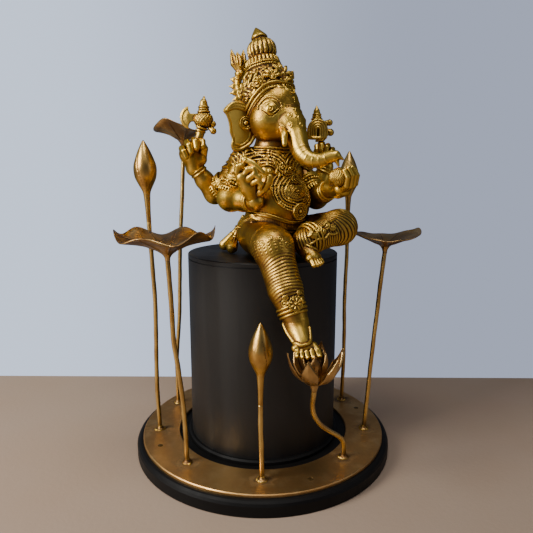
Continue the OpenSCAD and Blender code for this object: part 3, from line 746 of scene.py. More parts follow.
def petal_grid(length, half, belly, tip, cup, thick, rows=40, cols=25):
    """The two faces of a pointed, hollow petal."""
    u = np.linspace(0, 1, rows)[:, None]
    v = np.linspace(-1, 1, cols)[None, :]
    wide = half * (0.34 + 0.66 * np.sin(math.pi * np.clip(u / 1.16, 0, 1) ** 1.15))
    wide = np.maximum(wide * np.clip((1 - u) / 0.34, 0, 1) ** 0.62, 0.35)
    x = u * length * (1 - 0.03 * v * v)
    y = wide * v
    z = -belly * np.sin(math.pi * u) + tip * u ** 3 + cup * (v * wide / half) ** 2 * np.clip(u * 3, 0, 1)
    rib = np.exp(-(v / 0.09) ** 2) * np.clip(u * 4, 0, 1) * np.clip((1 - u) * 4, 0, 1)
    veins = 0.5 + 0.5 * np.cos(v * 14 + 3 * u)
    flat = np.stack(np.broadcast_arrays(x, y, z), -1)
    top = flat + np.stack(np.broadcast_arrays(0 * x, 0 * y, thick / 2 - 0.35 * rib - 0.12 * veins), -1)
    under = flat - np.stack(np.broadcast_arrays(0 * x, 0 * y, thick / 2 + 0.35 * rib), -1)
    # Darker along the rib and veins, lighter at the edges, and darker toward the petal's foot: a painted shade
    # where the petals crowd round the pod.
    hollow = 0.7 * rib + 0.25 * veins - 0.5 * np.abs(v) ** 6 + 0.55 * (1 - u) ** 3
    return top, under, np.broadcast_to(hollow, (rows, cols)).ravel()


# The middle of the lotus, where its petals meet.
LOTUS = vec(60, -165, 154)


def lotus_row(label, turns, seed, size, rise, sway, lift, uneven=False):
    """A ring of petals that rise at different slopes. Uneven ones differ in length and heading too."""
    for i, turn in enumerate(turns):
        rng = np.random.default_rng(seed + i)
        length, *form = size
        if uneven:
            length += rng.uniform(-1.5, 0.5)
            turn += rng.uniform(-3, 3)
        top, under, hollow = petal_grid(length, *form)
        middle = LOTUS + vec(0, 0, lift)
        faces = [turned(grid, rise + rng.uniform(0, sway), turn) + middle for grid in (top, under)]
        obj = sheet("lotus_%s_%d" % (label, i), *faces, False,
                    nodes=("lotus_%s_petals" % label,) if i == 0 else (), **LEAF_FINISH)
        store(obj, "hollow", np.concatenate([hollow, 0.3 * hollow]))


def lotus():
    lotus_row("outer", range(12, 372, 60), 100, (50, 9.0, 7.0, 6.5, 3.0, 2.6), 41, 5, 1, uneven=True)
    lotus_row("inner", range(48, 408, 72), 200, (34, 7.0, 5.0, 5.5, 2.6, 2.4), 57, 4, 7)
    clay = Clay(LOTUS - vec(14, 14, 10), LOTUS + vec(14, 14, 32), 0.55)
    clay.bone(LOTUS - vec(0, 0, 5), LOTUS + vec(0, 0, 9), 3.4, 7.5, 1)
    clay.bone(LOTUS + vec(0, 0, 8), LOTUS + vec(0, 0, 20), 4.5, 6.0, 2)
    clay.ball(LOTUS + vec(0, 0, 24), 8.2, 2, (1, 1, 0.55))
    # The seed pits, one in the middle and seven round it.
    for out, count in ((0.0, 1), (4.6, 7)):
        for k in range(count):
            turn = 2 * math.pi * k / count
            spot = LOTUS + vec(out * math.cos(turn), out * math.sin(turn), 28.2 - 0.03 * out ** 2)
            clay.ball(spot, 1.5, 0.3, carve=True)
            clay.ball(spot - vec(0, 0, 1.0), 0.9, 0.2)
    clay.piece("lotus_pod", LEAF, "stand", "leaf_brass", ("lotus_seed_pod",))


def stand():
    """Everything brazed to the ring plate."""
    for seed, name in enumerate(ROUTES):
        rod_piece(name, seed + 1.7)
    bud_piece("left_bud", 1.0, 0.15)
    bud_piece("right_bud", 1.0, 0.4)
    bud_piece("front_bud", 0.93, 0.72)

    def turned_up(a):
        """A curl over toward +x only, on a rim with a slight wave."""
        at_x = np.exp(-(a / 0.5) ** 2) + np.exp(-((a - 2 * math.pi) / 0.5) ** 2)
        return 1.8 * at_x + 0.3 * np.sin(4 * a)
    leaf_piece("left_leaf", 60, 20, 5, 6, -24, lambda a: 1.6 * np.cos(2 * a) + 0.5 * np.sin(5 * a))
    leaf_piece("right_leaf", 46, 14, 4, 2, 90, turned_up)
    leaf_piece("back_leaf", 42, 20, 7, 3, 60, lambda a: 1.2 * np.sin(2 * a + 1) + 0.4 * np.sin(5 * a))
    braze_beads()
    lotus()


# ---------------------------------------------------------------- the figure
# From here every point is in mm from the middle of the pedestal's seat.


def local(origin, forward, right, up=(0, 0, 1)):
    """A function from (forward, to the figure's right, up) to a point of the figure."""
    o, f, r, u = vec(*origin), unit(forward), unit(right), unit(up)
    return lambda a, b, c: o + a * f + b * r + c * u


# Frames of the head, belly, chest and crown: ahead, to the figure's right, and up.
HEAD = local((14, -30, 177), (0.741, -0.671, 0), (-0.671, -0.741, 0))
BELLY = local((20, -40, 67), (0.5, -0.866, 0), (-0.866, -0.5, 0))
CHEST = local((12, -24, 109), (0.5, -0.866, 0), (-0.866, -0.5, 0))
CROWN_UP = unit((-0.1875, 0.167, 0.969))
CROWN_FRONT = unit(vec(0.741, -0.671, 0) - (vec(0.741, -0.671, 0) @ CROWN_UP) * CROWN_UP)
CROWN_RIGHT = np.cross(CROWN_FRONT, CROWN_UP)
CROWN_AXIS = local((9, -23, 198), CROWN_FRONT, CROWN_RIGHT, CROWN_UP)


def crown_slip(height):
    """How far the crown's foot stands over toward -x, by height on its axis."""
    return 2.6 * np.clip((34 - height) / 20, 0, 1)


def CROWN(ahead, side, height):
    """A point of the crown, by its distance ahead of the axis, to the figure's right and up."""
    return CROWN_AXIS(ahead, side, height) - vec(crown_slip(height), 0, 0)


def about_crown(x, y, z, slip):
    """Height along the crown's axis, distance from it, and angle round it from the front (radians)."""
    o = CROWN_AXIS(0, 0, 0)
    h = sum((p - q) * axis for p, q, axis in zip((x, y, z), o, CROWN_UP))
    x = x + slip(h)
    d = [p - q - h * axis for p, q, axis in zip((x, y, z), o, CROWN_UP)]
    side, ahead = (d[0] * v[0] + d[1] * v[1] + d[2] * v[2] for v in (CROWN_RIGHT, CROWN_FRONT))
    return h, np.sqrt(d[0] * d[0] + d[1] * d[1] + d[2] * d[2]), np.arctan2(side, ahead)


def bulb_slip(height):
    """What to add to x, by height on the axis, to undo the bulb's lean toward +x."""
    return -2.2 * np.clip((height - 50) / 6, 0, 1) * np.clip((93 - height) / 14, 0, 1)


# The trunk from the face to its tip, and each arm's shoulder, elbow and wrist: x, y, z and radius.
TRUNK = [(38, -53, 166, 14), (42.5, -62, 150, 12.0), (46.5, -70.5, 134, 10.8), (54.5, -78.5, 123, 9.3),
         (67.5, -83.5, 120.5, 7.8), (79.5, -87, 124, 7.0), (87, -90, 125.5, 5.6)]
ARMS = {"right_front": [(-22, -36, 119, 17), (-40, -40, 75, 17), (-7, -84, 73, 11)],
        "right_rear": [(-26, -14, 119, 16), (-66, 8, 79, 14), (-90, -2.5, 113, 9.2)],
        "left_front": [(44, -8, 117, 15), (70, -34, 75, 14), (84, -62, 87, 10)],
        "left_rear": [(44, 6, 119, 15), (72, 22, 77, 14), (88, 18, 115, 9.5)], }


def on(clay, points, lift=0.0):
    """The curve through the points, laid on the surface of the clay."""
    return clay.snap(smooth_path(points, 1.5), lift)


def across(axis, hint=(0.13, 0.2, 0.97)):
    """An axis as a unit vector, and two directions square to it and to each other."""
    n = unit(axis)
    e1 = unit(np.cross(n, hint))
    return n, e1, np.cross(n, e1)


def circle(e1, e2, count):
    """That many directions spread evenly round a circle."""
    for k in range(count):
        turn = 2 * math.pi * k / count
        yield math.cos(turn) * e1 + math.sin(turn) * e2


def outline(points, gap):
    """Signed distance to the closed smooth curve through the points of a plane."""
    return polygon_distance(smooth_path([(b, c, 0) for b, c in points + points[:1]], gap)[:-1, :2])


def over_seat(x, y, z):
    """The height over the seat, as a rule that cuts off what is below it."""
    return z + 0 * x + 0 * y


def spiral(clay, centre, toward, radius, turns, hand=1, lift=0.3):
    """A scroll lying on the surface, its tail pointing toward a point."""
    c = clay.touch(centre)
    n = clay.facing(c)
    e1 = vec(*toward) - c
    e1 = unit(e1 - (e1 @ n) * n)
    e2 = np.cross(n, e1) * hand
    pts = []
    steps = int(18 * turns)
    for i in range(steps + 1):
        f = i / steps
        ang = 2 * math.pi * turns * (1 - f)
        r = radius * (0.12 + 0.88 * f)
        pts.append(c + r * math.cos(ang) * e1 + r * math.sin(ang) * e2)
    return clay.snap(pts, lift)


def rosette(clay, centre, radius, petals=8, lift=0.2):
    """A flower boss: a centre bead, with petals round it."""
    c = clay.touch(centre)
    n, e1, e2 = across(clay.facing(c), (0.2, 0.3, 0.93))
    clay.ball(c + n * lift, radius * 0.26, 0.2)
    for d in circle(e1, e2, petals):
        clay.bone(c + n * lift + d * radius * 0.42, c + n * (lift * 0.6) + d * radius * 0.86, radius * 0.09,
                  radius * 0.17, 0.15)


def ring(clay, centre, axis, radius, wire, twist=0, k=0.3):
    """A ring round a limb. twist > 0 makes it a rope of two strands that turn round each other that often."""
    c = vec(*centre)
    n, e1, e2 = across(axis)
    steps = max(24, int(2 * math.pi * radius / 1.5)) * (3 if twist else 1)
    size = wire * (0.62 if twist else 1)
    for start, off in ((0, 0.45), (math.pi, 0.45)) if twist else ((0, 0),):
        pts = []
        for i in range(steps + 1):
            a = 2 * math.pi * i / steps
            w = a * twist + start
            r = radius + off * wire * math.cos(w)
            pts.append(c + r * math.cos(a) * e1 + r * math.sin(a) * e2 + off * wire * math.sin(w) * n)
        for p, q in zip(pts[:-1], pts[1:]):
            clay.bone(p, q, size, size, k)


def beaded_ring(clay, centre, axis, radius, bead, count):
    """A ring of separate beads."""
    _, e1, e2 = across(axis)
    for d in circle(e1, e2, count):
        clay.ball(vec(*centre) + radius * d, bead, 0.15)


def torso_clay():
    """Chest, belly and lap as one casting, flat where it sits."""
    clay = Clay((-50, -92, -1.5), (72, 32, 166), 0.75)
    # Seat, belly, hips, chest, shoulders and neck.
    clay.ball((10, -16, 24), 35)
    clay.bone((12, -24, 36), (20, -40, 67), 36, 41, 6)
    clay.bone((-8, -22, 26), (30, -16, 26), 26, 26, 10)
    clay.ball((12, -24, 109), 33, 14)
    clay.bone((-14, -34, 118), (38, -10, 116), 16, 15, 10)
    clay.bone((14, -24, 130), (14, -26, 158), 22, 21.5, 12)
    for side in (1, -1):
        clay.ball(CHEST(21, 17 * side, -2), 14, 7)
    # The fold under the chest and the line down the back.
    clay.wire(on(clay, [BELLY(2, 42, 18), BELLY(20, 36, 22), BELLY(34, 18, 27), BELLY(38, 0, 30),
                        BELLY(34, -20, 28), BELLY(18, -36, 20)], 0.9), 1.2, 3.0, carve=True,
              taper=lambda f: 0.5 + 0.6 * math.sin(math.pi * f))
    clay.wire(on(clay, [CHEST(-34, 0, 18), CHEST(-34, 0, -20), CHEST(-30, 0, -48)], 0.5), 1.6, 3.0,
              carve=True)
    for side in (1, -1):
        p = clay.touch(CHEST(34, 21 * side, 0))
        ring(clay, p, clay.facing(p), 2.6, 0.45)
        clay.ball(p, 1.1, 0.3)
    # Cloth gathered across the lap, in hanging folds under the belly.
    folds = [(2, 43, -9), (14, 40, -14), (30, 28, -18), (38, 8, -25), (37, -10, -27), (30, -28, -22),
             (18, -40, -14)]
    for i in range(5):
        down = 5.0 + 5.2 * i
        pts = [BELLY(a - 0.5 * i, b, c - down * (0.55 + 0.45 * math.cos(b / 34))) for a, b, c in folds]
        clay.wire(on(clay, pts, 0.2), 1.25, 1.0)
        clay.wire(on(clay, [p - vec(0, 0, 2.3) for p in pts], 0.5), 0.8, 0.8, carve=True)
    clay.shape(clay.low, (72, 32, 0), over_seat, 0, True)
    return clay


def head_clay():
    """The head with its trunk, eyes, folds and the low engraving on its forehead."""
    clay = Clay((-24, -98, 106), (99, 8, 214), 0.55)
    # Skull and forehead, then the cheeks, the root of the trunk, and the neck.
    clay.ball((15, -31, 177), 31, 0, (1, 1, 1.03))
    clay.ball((10, -38, 171), 26, 8)
    clay.ball(HEAD(7, 0, 13), 27, 8)
    for side in (1, -1):
        clay.ball(HEAD(2, 15 * side, -9), 18, 10)
    clay.ball((31, -46, 165), 18.5, 10)
    clay.bone((33, -48, 174), (38, -53, 165), 15, 14, 8)
    clay.bone((14, -25, 140), (14, -26, 158), 20, 21, 5)
    path = smooth_path(TRUNK, 1.5)
    clay.limb(path, 1.5)
    clay.ball((36, -53, 165), 14, 9)
    # The trunk's tip: an upper finger and a lower lip, with two nostrils between.
    clay.bone((87, -90, 127), (95, -91, 121.5), 4.4, 1.4, 1.5)
    clay.bone((87, -90, 123), (90, -91.5, 114.5), 4.0, 1.5, 1.5)
    for side in (1, -1):
        clay.bone((88, -90.5 + 1.9 * side, 122), (96, -92 + 2 * side, 116), 1.2, 1.6, 0.4, carve=True)
    # Folds across the trunk, low relief.
    for i in range(3, len(path) - 6, 5):
        f = i / len(path)
        t = unit(path[i + 1, :3] - path[i - 1, :3])
        if f > 0.42:
            ring(clay, path[i, :3], t, path[i, 3] + 0.05, 0.3, k=1.4)
    # Tusk sockets, with the folds of the cheek that run down to them.
    for side in (1, -1):
        a, b, c = (24, -58, 162) if side == 1 else (48, -36, 162)
        root = vec(a, b, c)
        clay.bone(root + vec(0, 0, 3), root - vec(0, 0, 2), 7.4, 6.6, 3)
        ring(clay, root - vec(-0.3, 0.8, 3.2), (0.15, -0.75, -0.6) if side == 1 else (0.6, -0.2, -0.7), 6.3,
             1.0, k=1)
        clay.wire(on(clay, [HEAD(31, 20 * side, -15), HEAD(36, 16 * side, -19), HEAD(39, 15 * side, -26),
                            HEAD(38, 14 * side, -33)], 0.4), 1.2, 1.2)
        clay.wire(on(clay, [HEAD(33, 21 * side, -16), HEAD(38, 17 * side, -21), HEAD(41, 15 * side, -28)],
                     0.9), 0.7, 0.5, carve=True)
    # Each eye in its lids, under an arched brow.
    for side in (1, -1):
        def eye(points):
            return on(clay, [HEAD(a, b * side, c) for a, b, c in points])
        clay.ball(clay.touch(HEAD(19, 25.5 * side, 5), -4.6), 7.2, 2.5)
        clay.wire(eye([(6, 32, 3.5), (9.5, 31, 7.5), (14, 28, 11.2), (19, 25, 11.6), (24, 21, 8.2),
                       (26.5, 19.5, 4)]), 0.75, 0.5, carve=True)
        clay.wire(eye([(8.5, 31, 4), (11.5, 30, 7.8), (16, 27, 10), (20, 24, 9.4), (24, 21.5, 6.4),
                       (25.8, 20.3, 3.4)]), 0.85, 0.6)
        clay.wire(eye([(10, 31, 4), (14, 29, 1.6), (19, 26, -0.6), (23, 23, 0.6), (25.8, 20.4, 3.4)]), 0.7,
                  0.5)
        clay.wire(eye([(11, 31, 2.6), (15, 29, -1.2), (20, 26, -4.4), (24, 23, -1.2), (26.6, 20, 2.6)]),
                  0.6, 0.5, carve=True)
        iris = clay.touch(HEAD(19.5, 26 * side, 4.6))
        ring(clay, iris, clay.facing(iris), 2.9, 0.5, k=0.3)
        clay.ball(iris - clay.facing(iris) * 0.4, 1.6, 0.3)
        brow = [(5, 32, 7), (6.5, 31, 10.5), (10, 28, 15.5), (15, 23.5, 18), (21, 19.5, 16.5),
                (25.5, 17.5, 12), (28, 16, 6)]
        clay.wire(eye(brow), 0.7, 0.7)
        clay.wire(eye([(a + 0.3, b, c - 1.9) for a, b, c in brow]), 0.5, 0.4, carve=True)
        clay.wire(eye([(a - 0.3, b, c + 1.7) for a, b, c in brow]), 0.4, 0.4, carve=True)
    # Three lines across the forehead.
    for c in (8.2, 5.8, 3.6):
        clay.wire(on(clay, [HEAD(30, 11, c + 0.6), HEAD(33, 4, c), HEAD(33.5, 0, c), HEAD(33, -4, c),
                            HEAD(30, -11, c + 0.6)], 0.1), 0.5, 0.5, carve=True)
    # Low leaf scrolls engraved down the top of the trunk.
    for c, b, r in ((-1, 4.0, 2.8), (-6, 8.5, 3.3), (-10, 3.6, 2.9), (-15, 8.0, 3.0), (-19, 3.2, 2.6),
                    (-24, 6.6, 2.6), (-28, 2.8, 2.2), (-33, 5.2, 2.2)):
        for side in (1, -1):
            spot = HEAD(33 + 0.33 * abs(c), b * side, c)
            toward = HEAD(33 + 0.33 * abs(c), (b - 4) * side, c - 7)
            clay.wire(spiral(clay, spot, toward, r, 1.2, side, 0.1), 0.55, 0.4)
            clay.ball(clay.touch(spot), 0.7, 0.3)
    # The scalloped fringe of the crown on the forehead.
    for side in (1, -1):
        scallop = [(6, 20, 27), (8.5, 17.5, 27), (10, 14, 30), (13, 14.5, 26), (16, 11.5, 28.5),
                   (19, 9, 25.5), (21, 6, 27), (24.5, 4, 23), (26.5, 0, 22)]
        clay.wire(on(clay, [HEAD(p, q * side, r) for p, q, r in scallop], 0.3), 0.95, 0.6)
        clay.wire(on(clay, [HEAD(p - 2.6, q * side, r + 2.4) for p, q, r in scallop], 0.2), 0.6, 0.4)
        for p, q, r in ((13, 6, 30.5), (18, 4.5, 28)):
            clay.ball(clay.touch(HEAD(p, q * side, r)), 1.3, 0.3)
    rosette(clay, HEAD(26, 0, 22), 4.2, 7)
    rosette(clay, HEAD(17, 0, 29.5), 4.4, 7)
    for i in range(3):
        clay.ball(clay.touch(HEAD(29.5 + 0.8 * i, 0, 17.5 - 2.6 * i)), 1.3 - 0.2 * i, 0.3)
    return clay


# Height of the headband's upper ridge on the crown, by degrees round from the front.
BAND = [(0, 7.5), (27, 8.5), (39, 8), (51, 6), (63, 2), (75, -3), (87, -8.5), (99, -14), (120, -20),
        (180, -23)]


def band_height(degrees):
    """Height of the headband's upper ridge, by angle round from the front."""
    return np.interp(np.abs(degrees), [a for a, h in BAND], [h for a, h in BAND])


def band_line(radius, drop, start, end):
    """Points along the headband, at a radius from the crown's axis, drop mm under its upper ridge."""
    line = []
    for a in np.arange(start, end + 0.1, 4.0):
        t = math.radians(a)
        line.append(CROWN(radius * math.cos(t), radius * math.sin(t), band_height(a) - drop))
    return line


# The crown's radius by height on its axis, as (height, radius).
CROWN_PROFILE = [(-32, 33), (-20, 34.5), (0, 35.5), (8, 35.4), (15, 33.8), (22, 30.6), (30, 26.4),
                 (36, 23.4), (40, 22), (44, 21), (48, 19), (52, 16.5), (56, 13)]


# Scrolls on one side of the crown: centre and the point its tail aims at, both as height and degrees from
# the front, then radius, turns, hand and thickness. The leaves between them are curves of such points.
SCROLLS = (((31.5, 74), (26, 86), 4.6, 1.5, 1, 1.25), ((27, 88), (31, 76), 4.2, 1.4, 1, 1.25),
           ((17, 97), (25, 92), 4.6, 1.5, -1, 1.25), ((21, 48), (14, 62), 5.4, 1.6, 1, 1.4),
           ((30, 48), (33, 62), 3.8, 1.3, -1, 1.1), ((11, 62), (2, 72), 4.2, 1.3, 1, 1.2),
           ((31.5, 118), (25, 128), 4.4, 1.5, 1, 1.2), ((19, 122), (27, 116), 4.8, 1.5, -1, 1.3),
           ((6, 112), (14, 106), 4.4, 1.4, 1, 1.2), ((31, 158), (24, 166), 4.4, 1.5, 1, 1.2),
           ((18, 160), (26, 152), 5.0, 1.5, -1, 1.3), ((5, 142), (13, 136), 4.4, 1.4, 1, 1.2))
LEAVES = (((10, 74), (20, 68), (29, 64)), ((12, 84), (20, 81), (27, 80)), ((14, 34), (22, 30), (29, 36)),
          ((8, 134), (16, 140), (25, 141)), ((22, 105), (28, 104), (34, 102)), ((6, 168), (12, 174), (16, 179)))


def crown_clay():
    """The crown: a band round the head, carved foliage, pearls, scrolls and leafy fans."""
    clay = Clay((-50, -68, 162), (54, 26, 260), 0.55)
    hs, rs = zip(*CROWN_PROFILE)

    def body(x, y, z):
        h, r, a = about_crown(x, y, z, crown_slip)
        foot = band_height(np.degrees(a)) - 8.5
        rim = np.interp(h, hs, rs) - 3.2 * np.clip((foot + 8 - h) / 8, 0, 1)
        return np.maximum(np.maximum(0.93 * (r - rim), h - 56), 0.8 * (foot - h)).astype(np.float32)
    clay.shape(clay.low, clay.low + clay.step * clay.n, body)

    def spot(h, degrees, out=0.0):
        a = math.radians(degrees)
        r = np.interp(h, hs, rs) + out
        return CROWN(r * math.cos(a), r * math.sin(a), h)

    def foliage(x, y, z):
        h, _, a = about_crown(x, y, z, crown_slip)
        u = a * 26
        curl = np.sin(u / 1.75 + 1.5 * np.sin(h / 2.3)) * np.sin(h / 1.9 + 1.4 * np.sin(u / 2.6))
        return 0.75 * np.tanh(2.2 * curl) * np.clip((36 - h) / 2, 0, 1)
    clay.relief(foliage, 2.5)

    # The headband: two ridges with a hatched strip between them.
    clay.wire(band_line(36.1, 0, -180, 180), 1.6, 0.4)
    clay.wire(band_line(34.6, 5.4, -180, 180), 1.3, 0.4)
    clay.wire(band_line(33.4, 8.2, -180, 180), 0.9, 0.4)
    for a in range(-178, 180, 4):
        t = math.radians(a)
        h = band_height(a)
        top, foot = 35.7, 34.6
        clay.bone(CROWN(top * math.cos(t), top * math.sin(t), h - 1.6),
                  CROWN(foot * math.cos(t + 0.03), foot * math.sin(t + 0.03), h - 4.6), 0.55, 0.55, 0.3)
    for h in (37.5, 41.5):
        ring(clay, CROWN(0, 0, h), CROWN_UP, np.interp(h, hs, rs) + 0.4, 1.3, twist=26)
    for k in range(26):
        a = 360.0 * k / 26
        clay.bone(spot(44.0, a, 0.2), spot(48.0, a, 1.0), 1.6, 1.9, 0.4)
        clay.bone(spot(48.0, a, 1.0), spot(50.5, a, 1.6), 1.9, 0.8, 0.4)
    # Scrolls in pairs down each side of the crown, mirrored across its front.
    for side in (1, -1):
        def s(h, a):
            return spot(h, a * side)
        for c, toward, r, turns, hand, wire in SCROLLS:
            clay.wire(spiral(clay, s(*c), s(*toward), r, turns, hand * side), wire, 0.4,
                      taper=lambda f: 0.6 + 0.5 * f)
            clay.ball(clay.touch(s(*c)), 1.3, 0.3)
        for leaf in LEAVES:
            clay.wire(on(clay, [s(*q) for q in leaf], 0.2), 2.1, 0.5,
                      taper=lambda f: 0.25 + 1.5 * f * (1.12 - f) * 1.7)
        # Pearls in round frames, down along the headband.
        for h, a in ((6.5, 74), (1.0, 84), (-4, 94), (-8, 105), (-11.5, 117)):
            p = clay.touch(spot(h, a * side))
            n = clay.facing(p)
            ring(clay, p + 0.3 * n, n, 3.5, 0.75)
            clay.ball(p + 0.2 * n, 1.9, 0.2)
        # Leafy fans behind the headband.
        fan(clay, spot(15, 30 * side), CROWN_UP, 12.0, 5)
        fan(clay, spot(10, 56 * side), CROWN_UP, 9.0, 5)
    fan(clay, spot(20, 0), CROWN_UP, 16.0, 5)
    fan(clay, spot(10, 2), CROWN_UP, 10.0, 5)

    def skull(x, y, z):
        return np.sqrt((x - 14) ** 2 + (y + 30) ** 2 + (z - 177) ** 2) - 30.0
    clay.shape(clay.low, clay.low + clay.step * clay.n, skull, 0, True)
    return clay


def fan(clay, centre, up, size, leaves):
    """A crest of petals spreading upward from a boss."""
    c = clay.touch(centre)
    n = clay.facing(c)
    u = unit(up - (up @ n) * n)
    s = np.cross(n, u)
    for k in range(leaves):
        a = math.radians(-80 + 160 * k / (leaves - 1))
        d = math.cos(a) * u + math.sin(a) * s
        clay.bone(c + 0.2 * size * d + 0.8 * n, c + 0.62 * size * d + 1.6 * n, size * 0.10, size * 0.19, 0.2)
        clay.bone(c + 0.62 * size * d + 1.6 * n, c + 0.92 * size * d + 1.2 * n, size * 0.19, size * 0.13, 0.2)
        rise = (1.6 + 0.18 * size) * n
        clay.wire([c + 0.35 * size * d + rise, c + 0.7 * size * d + rise, c + 0.92 * size * d + 0.8 * rise],
                  0.55, 0.3, carve=True)
    clay.ball(c + 0.6 * n, size * 0.24, 0.3)
    ring(clay, c + 0.9 * n, n, size * 0.3, size * 0.06, k=0.2)


def finial_clay():
    """The lobed bulb on top of the crown, with its pointed tip."""
    clay = Clay((-34, -38, 246), (24, 16, 294), 0.5)
    profile = [(48, 14), (51, 14.5), (54, 17.0), (58, 18.9), (63, 19.2), (68, 18.2), (72, 15.6), (75, 11.4),
               (76.0, 9.0), (77.0, 9.2), (78.0, 10.6), (79.6, 10.6), (82, 9.2), (85.5, 6.7), (88.8, 4.1),
               (91.5, 1.9), (93, 0.1)]
    hs, rs = zip(*profile)

    def body(x, y, z):
        h, r, a = about_crown(x, y, z, bulb_slip)
        lobes = np.abs(np.sin(9 * a)) ** 0.7
        on_bulb = np.clip((h - 50) / 5, 0, 1) * np.clip((76.5 - h) / 4, 0, 1)
        rim = np.interp(h, hs, rs) - 1.9 * on_bulb * (1 - lobes)
        return np.maximum(0.8 * (r - rim), np.maximum(h - 93, 49 - h)).astype(np.float32)
    clay.shape(clay.low, clay.low + clay.step * clay.n, body)
    ring(clay, CROWN(0, 0, 76.2) + vec(2.2, 0, 0), CROWN_UP, 9.4, 0.7)
    return clay


def plume_clay():
    """A ribbon with a toothed outer edge, that ends in a scroll and an open tulip."""
    clay = Clay((-52, -6, 192), (-6, 32, 270), 0.5)
    spine = [(-12, 2, 198, 5.0), (-21, 6, 200, 4.8), (-28, 10, 206, 4.2), (-32, 13, 215, 4.0),
             (-33, 14, 224, 4.2), (-31, 14, 236, 5.6)]
    path = smooth_path(spine, 1.2)
    for p, q in zip(path[:-1], path[1:]):
        clay.bone(p[:3], q[:3], p[3], q[3], 0.6)
        clay.bone(p[:3] + vec(2.4, 0, 0.6), q[:3] + vec(2.4, 0, 0.6), 2.2, 2.2, 0.6)
    # Broad leaf teeth down the outer edge, each with its own hollow.
    for c, aim in (((-30, 10, 206), (-40, 9, 202)), ((-33, 12, 213), (-43.5, 11, 211)),
                   ((-34, 13, 220.5), (-44.5, 13, 220)), ((-34, 14, 228), (-43, 14, 229.5))):
        c, aim = vec(*c), vec(*aim)
        for rise in (-2.6, 0, 2.4):
            clay.bone(c + vec(1, 0, rise), 0.5 * (c + aim) + vec(0, 0, 0.5 * rise), 3.0, 2.6, 0.6)
        clay.bone(0.5 * (c + aim), aim, 2.8, 0.8, 0.5)
        clay.wire([c - vec(0, 4.4, 0), 0.4 * c + 0.6 * aim - vec(0, 3.2, 0)], 0.6, 0.4, carve=True)
    ring(clay, (-30, 13, 236), (0.1, 0, 1), 5.8, 1.5)
    clay.ball((-30, 12, 236), 5.6, 1.5)
    clay.wire(spiral(clay, (-33, 8, 231), (-30, 8, 237), 3.6, 1.4, 1, 0.3), 1.1, 0.3)
    # The tulip: broad pointed leaves, hollow in front.
    leaves = (((-37.5, 13, 249), (-41.5, 15, 267), 5.2), ((-30.5, 10, 250), (-33.5, 11, 263), 5.0),
              ((-25.5, 13, 250), (-25.5, 14, 266), 4.8), ((-21, 14, 246), (-18.5, 15, 255), 3.8),
              ((-33, 19, 250), (-35, 20, 263), 4.6), ((-27, 19, 250), (-28, 20, 262), 4.4))
    for belly, tip, wide in leaves:
        foot, belly, tip = vec(-29.5, 13, 237), vec(*belly), vec(*tip)
        clay.bone(foot, belly, 3.6, wide, 0.6)
        clay.bone(belly, 0.45 * belly + 0.55 * tip, wide, 0.7 * wide, 0.6)
        clay.bone(0.45 * belly + 0.55 * tip, tip, 0.7 * wide, 0.7, 0.4)
        front = vec(0, -0.94 * wide, 0)
        clay.wire([0.4 * foot + 0.6 * belly + front, belly + front, 0.5 * (belly + tip) + 0.75 * front,
                   0.2 * belly + 0.8 * tip + 0.3 * front], 1.2, 0.5, carve=True,
                  taper=lambda f: 0.4 + 0.9 * math.sin(math.pi * f))
    return clay


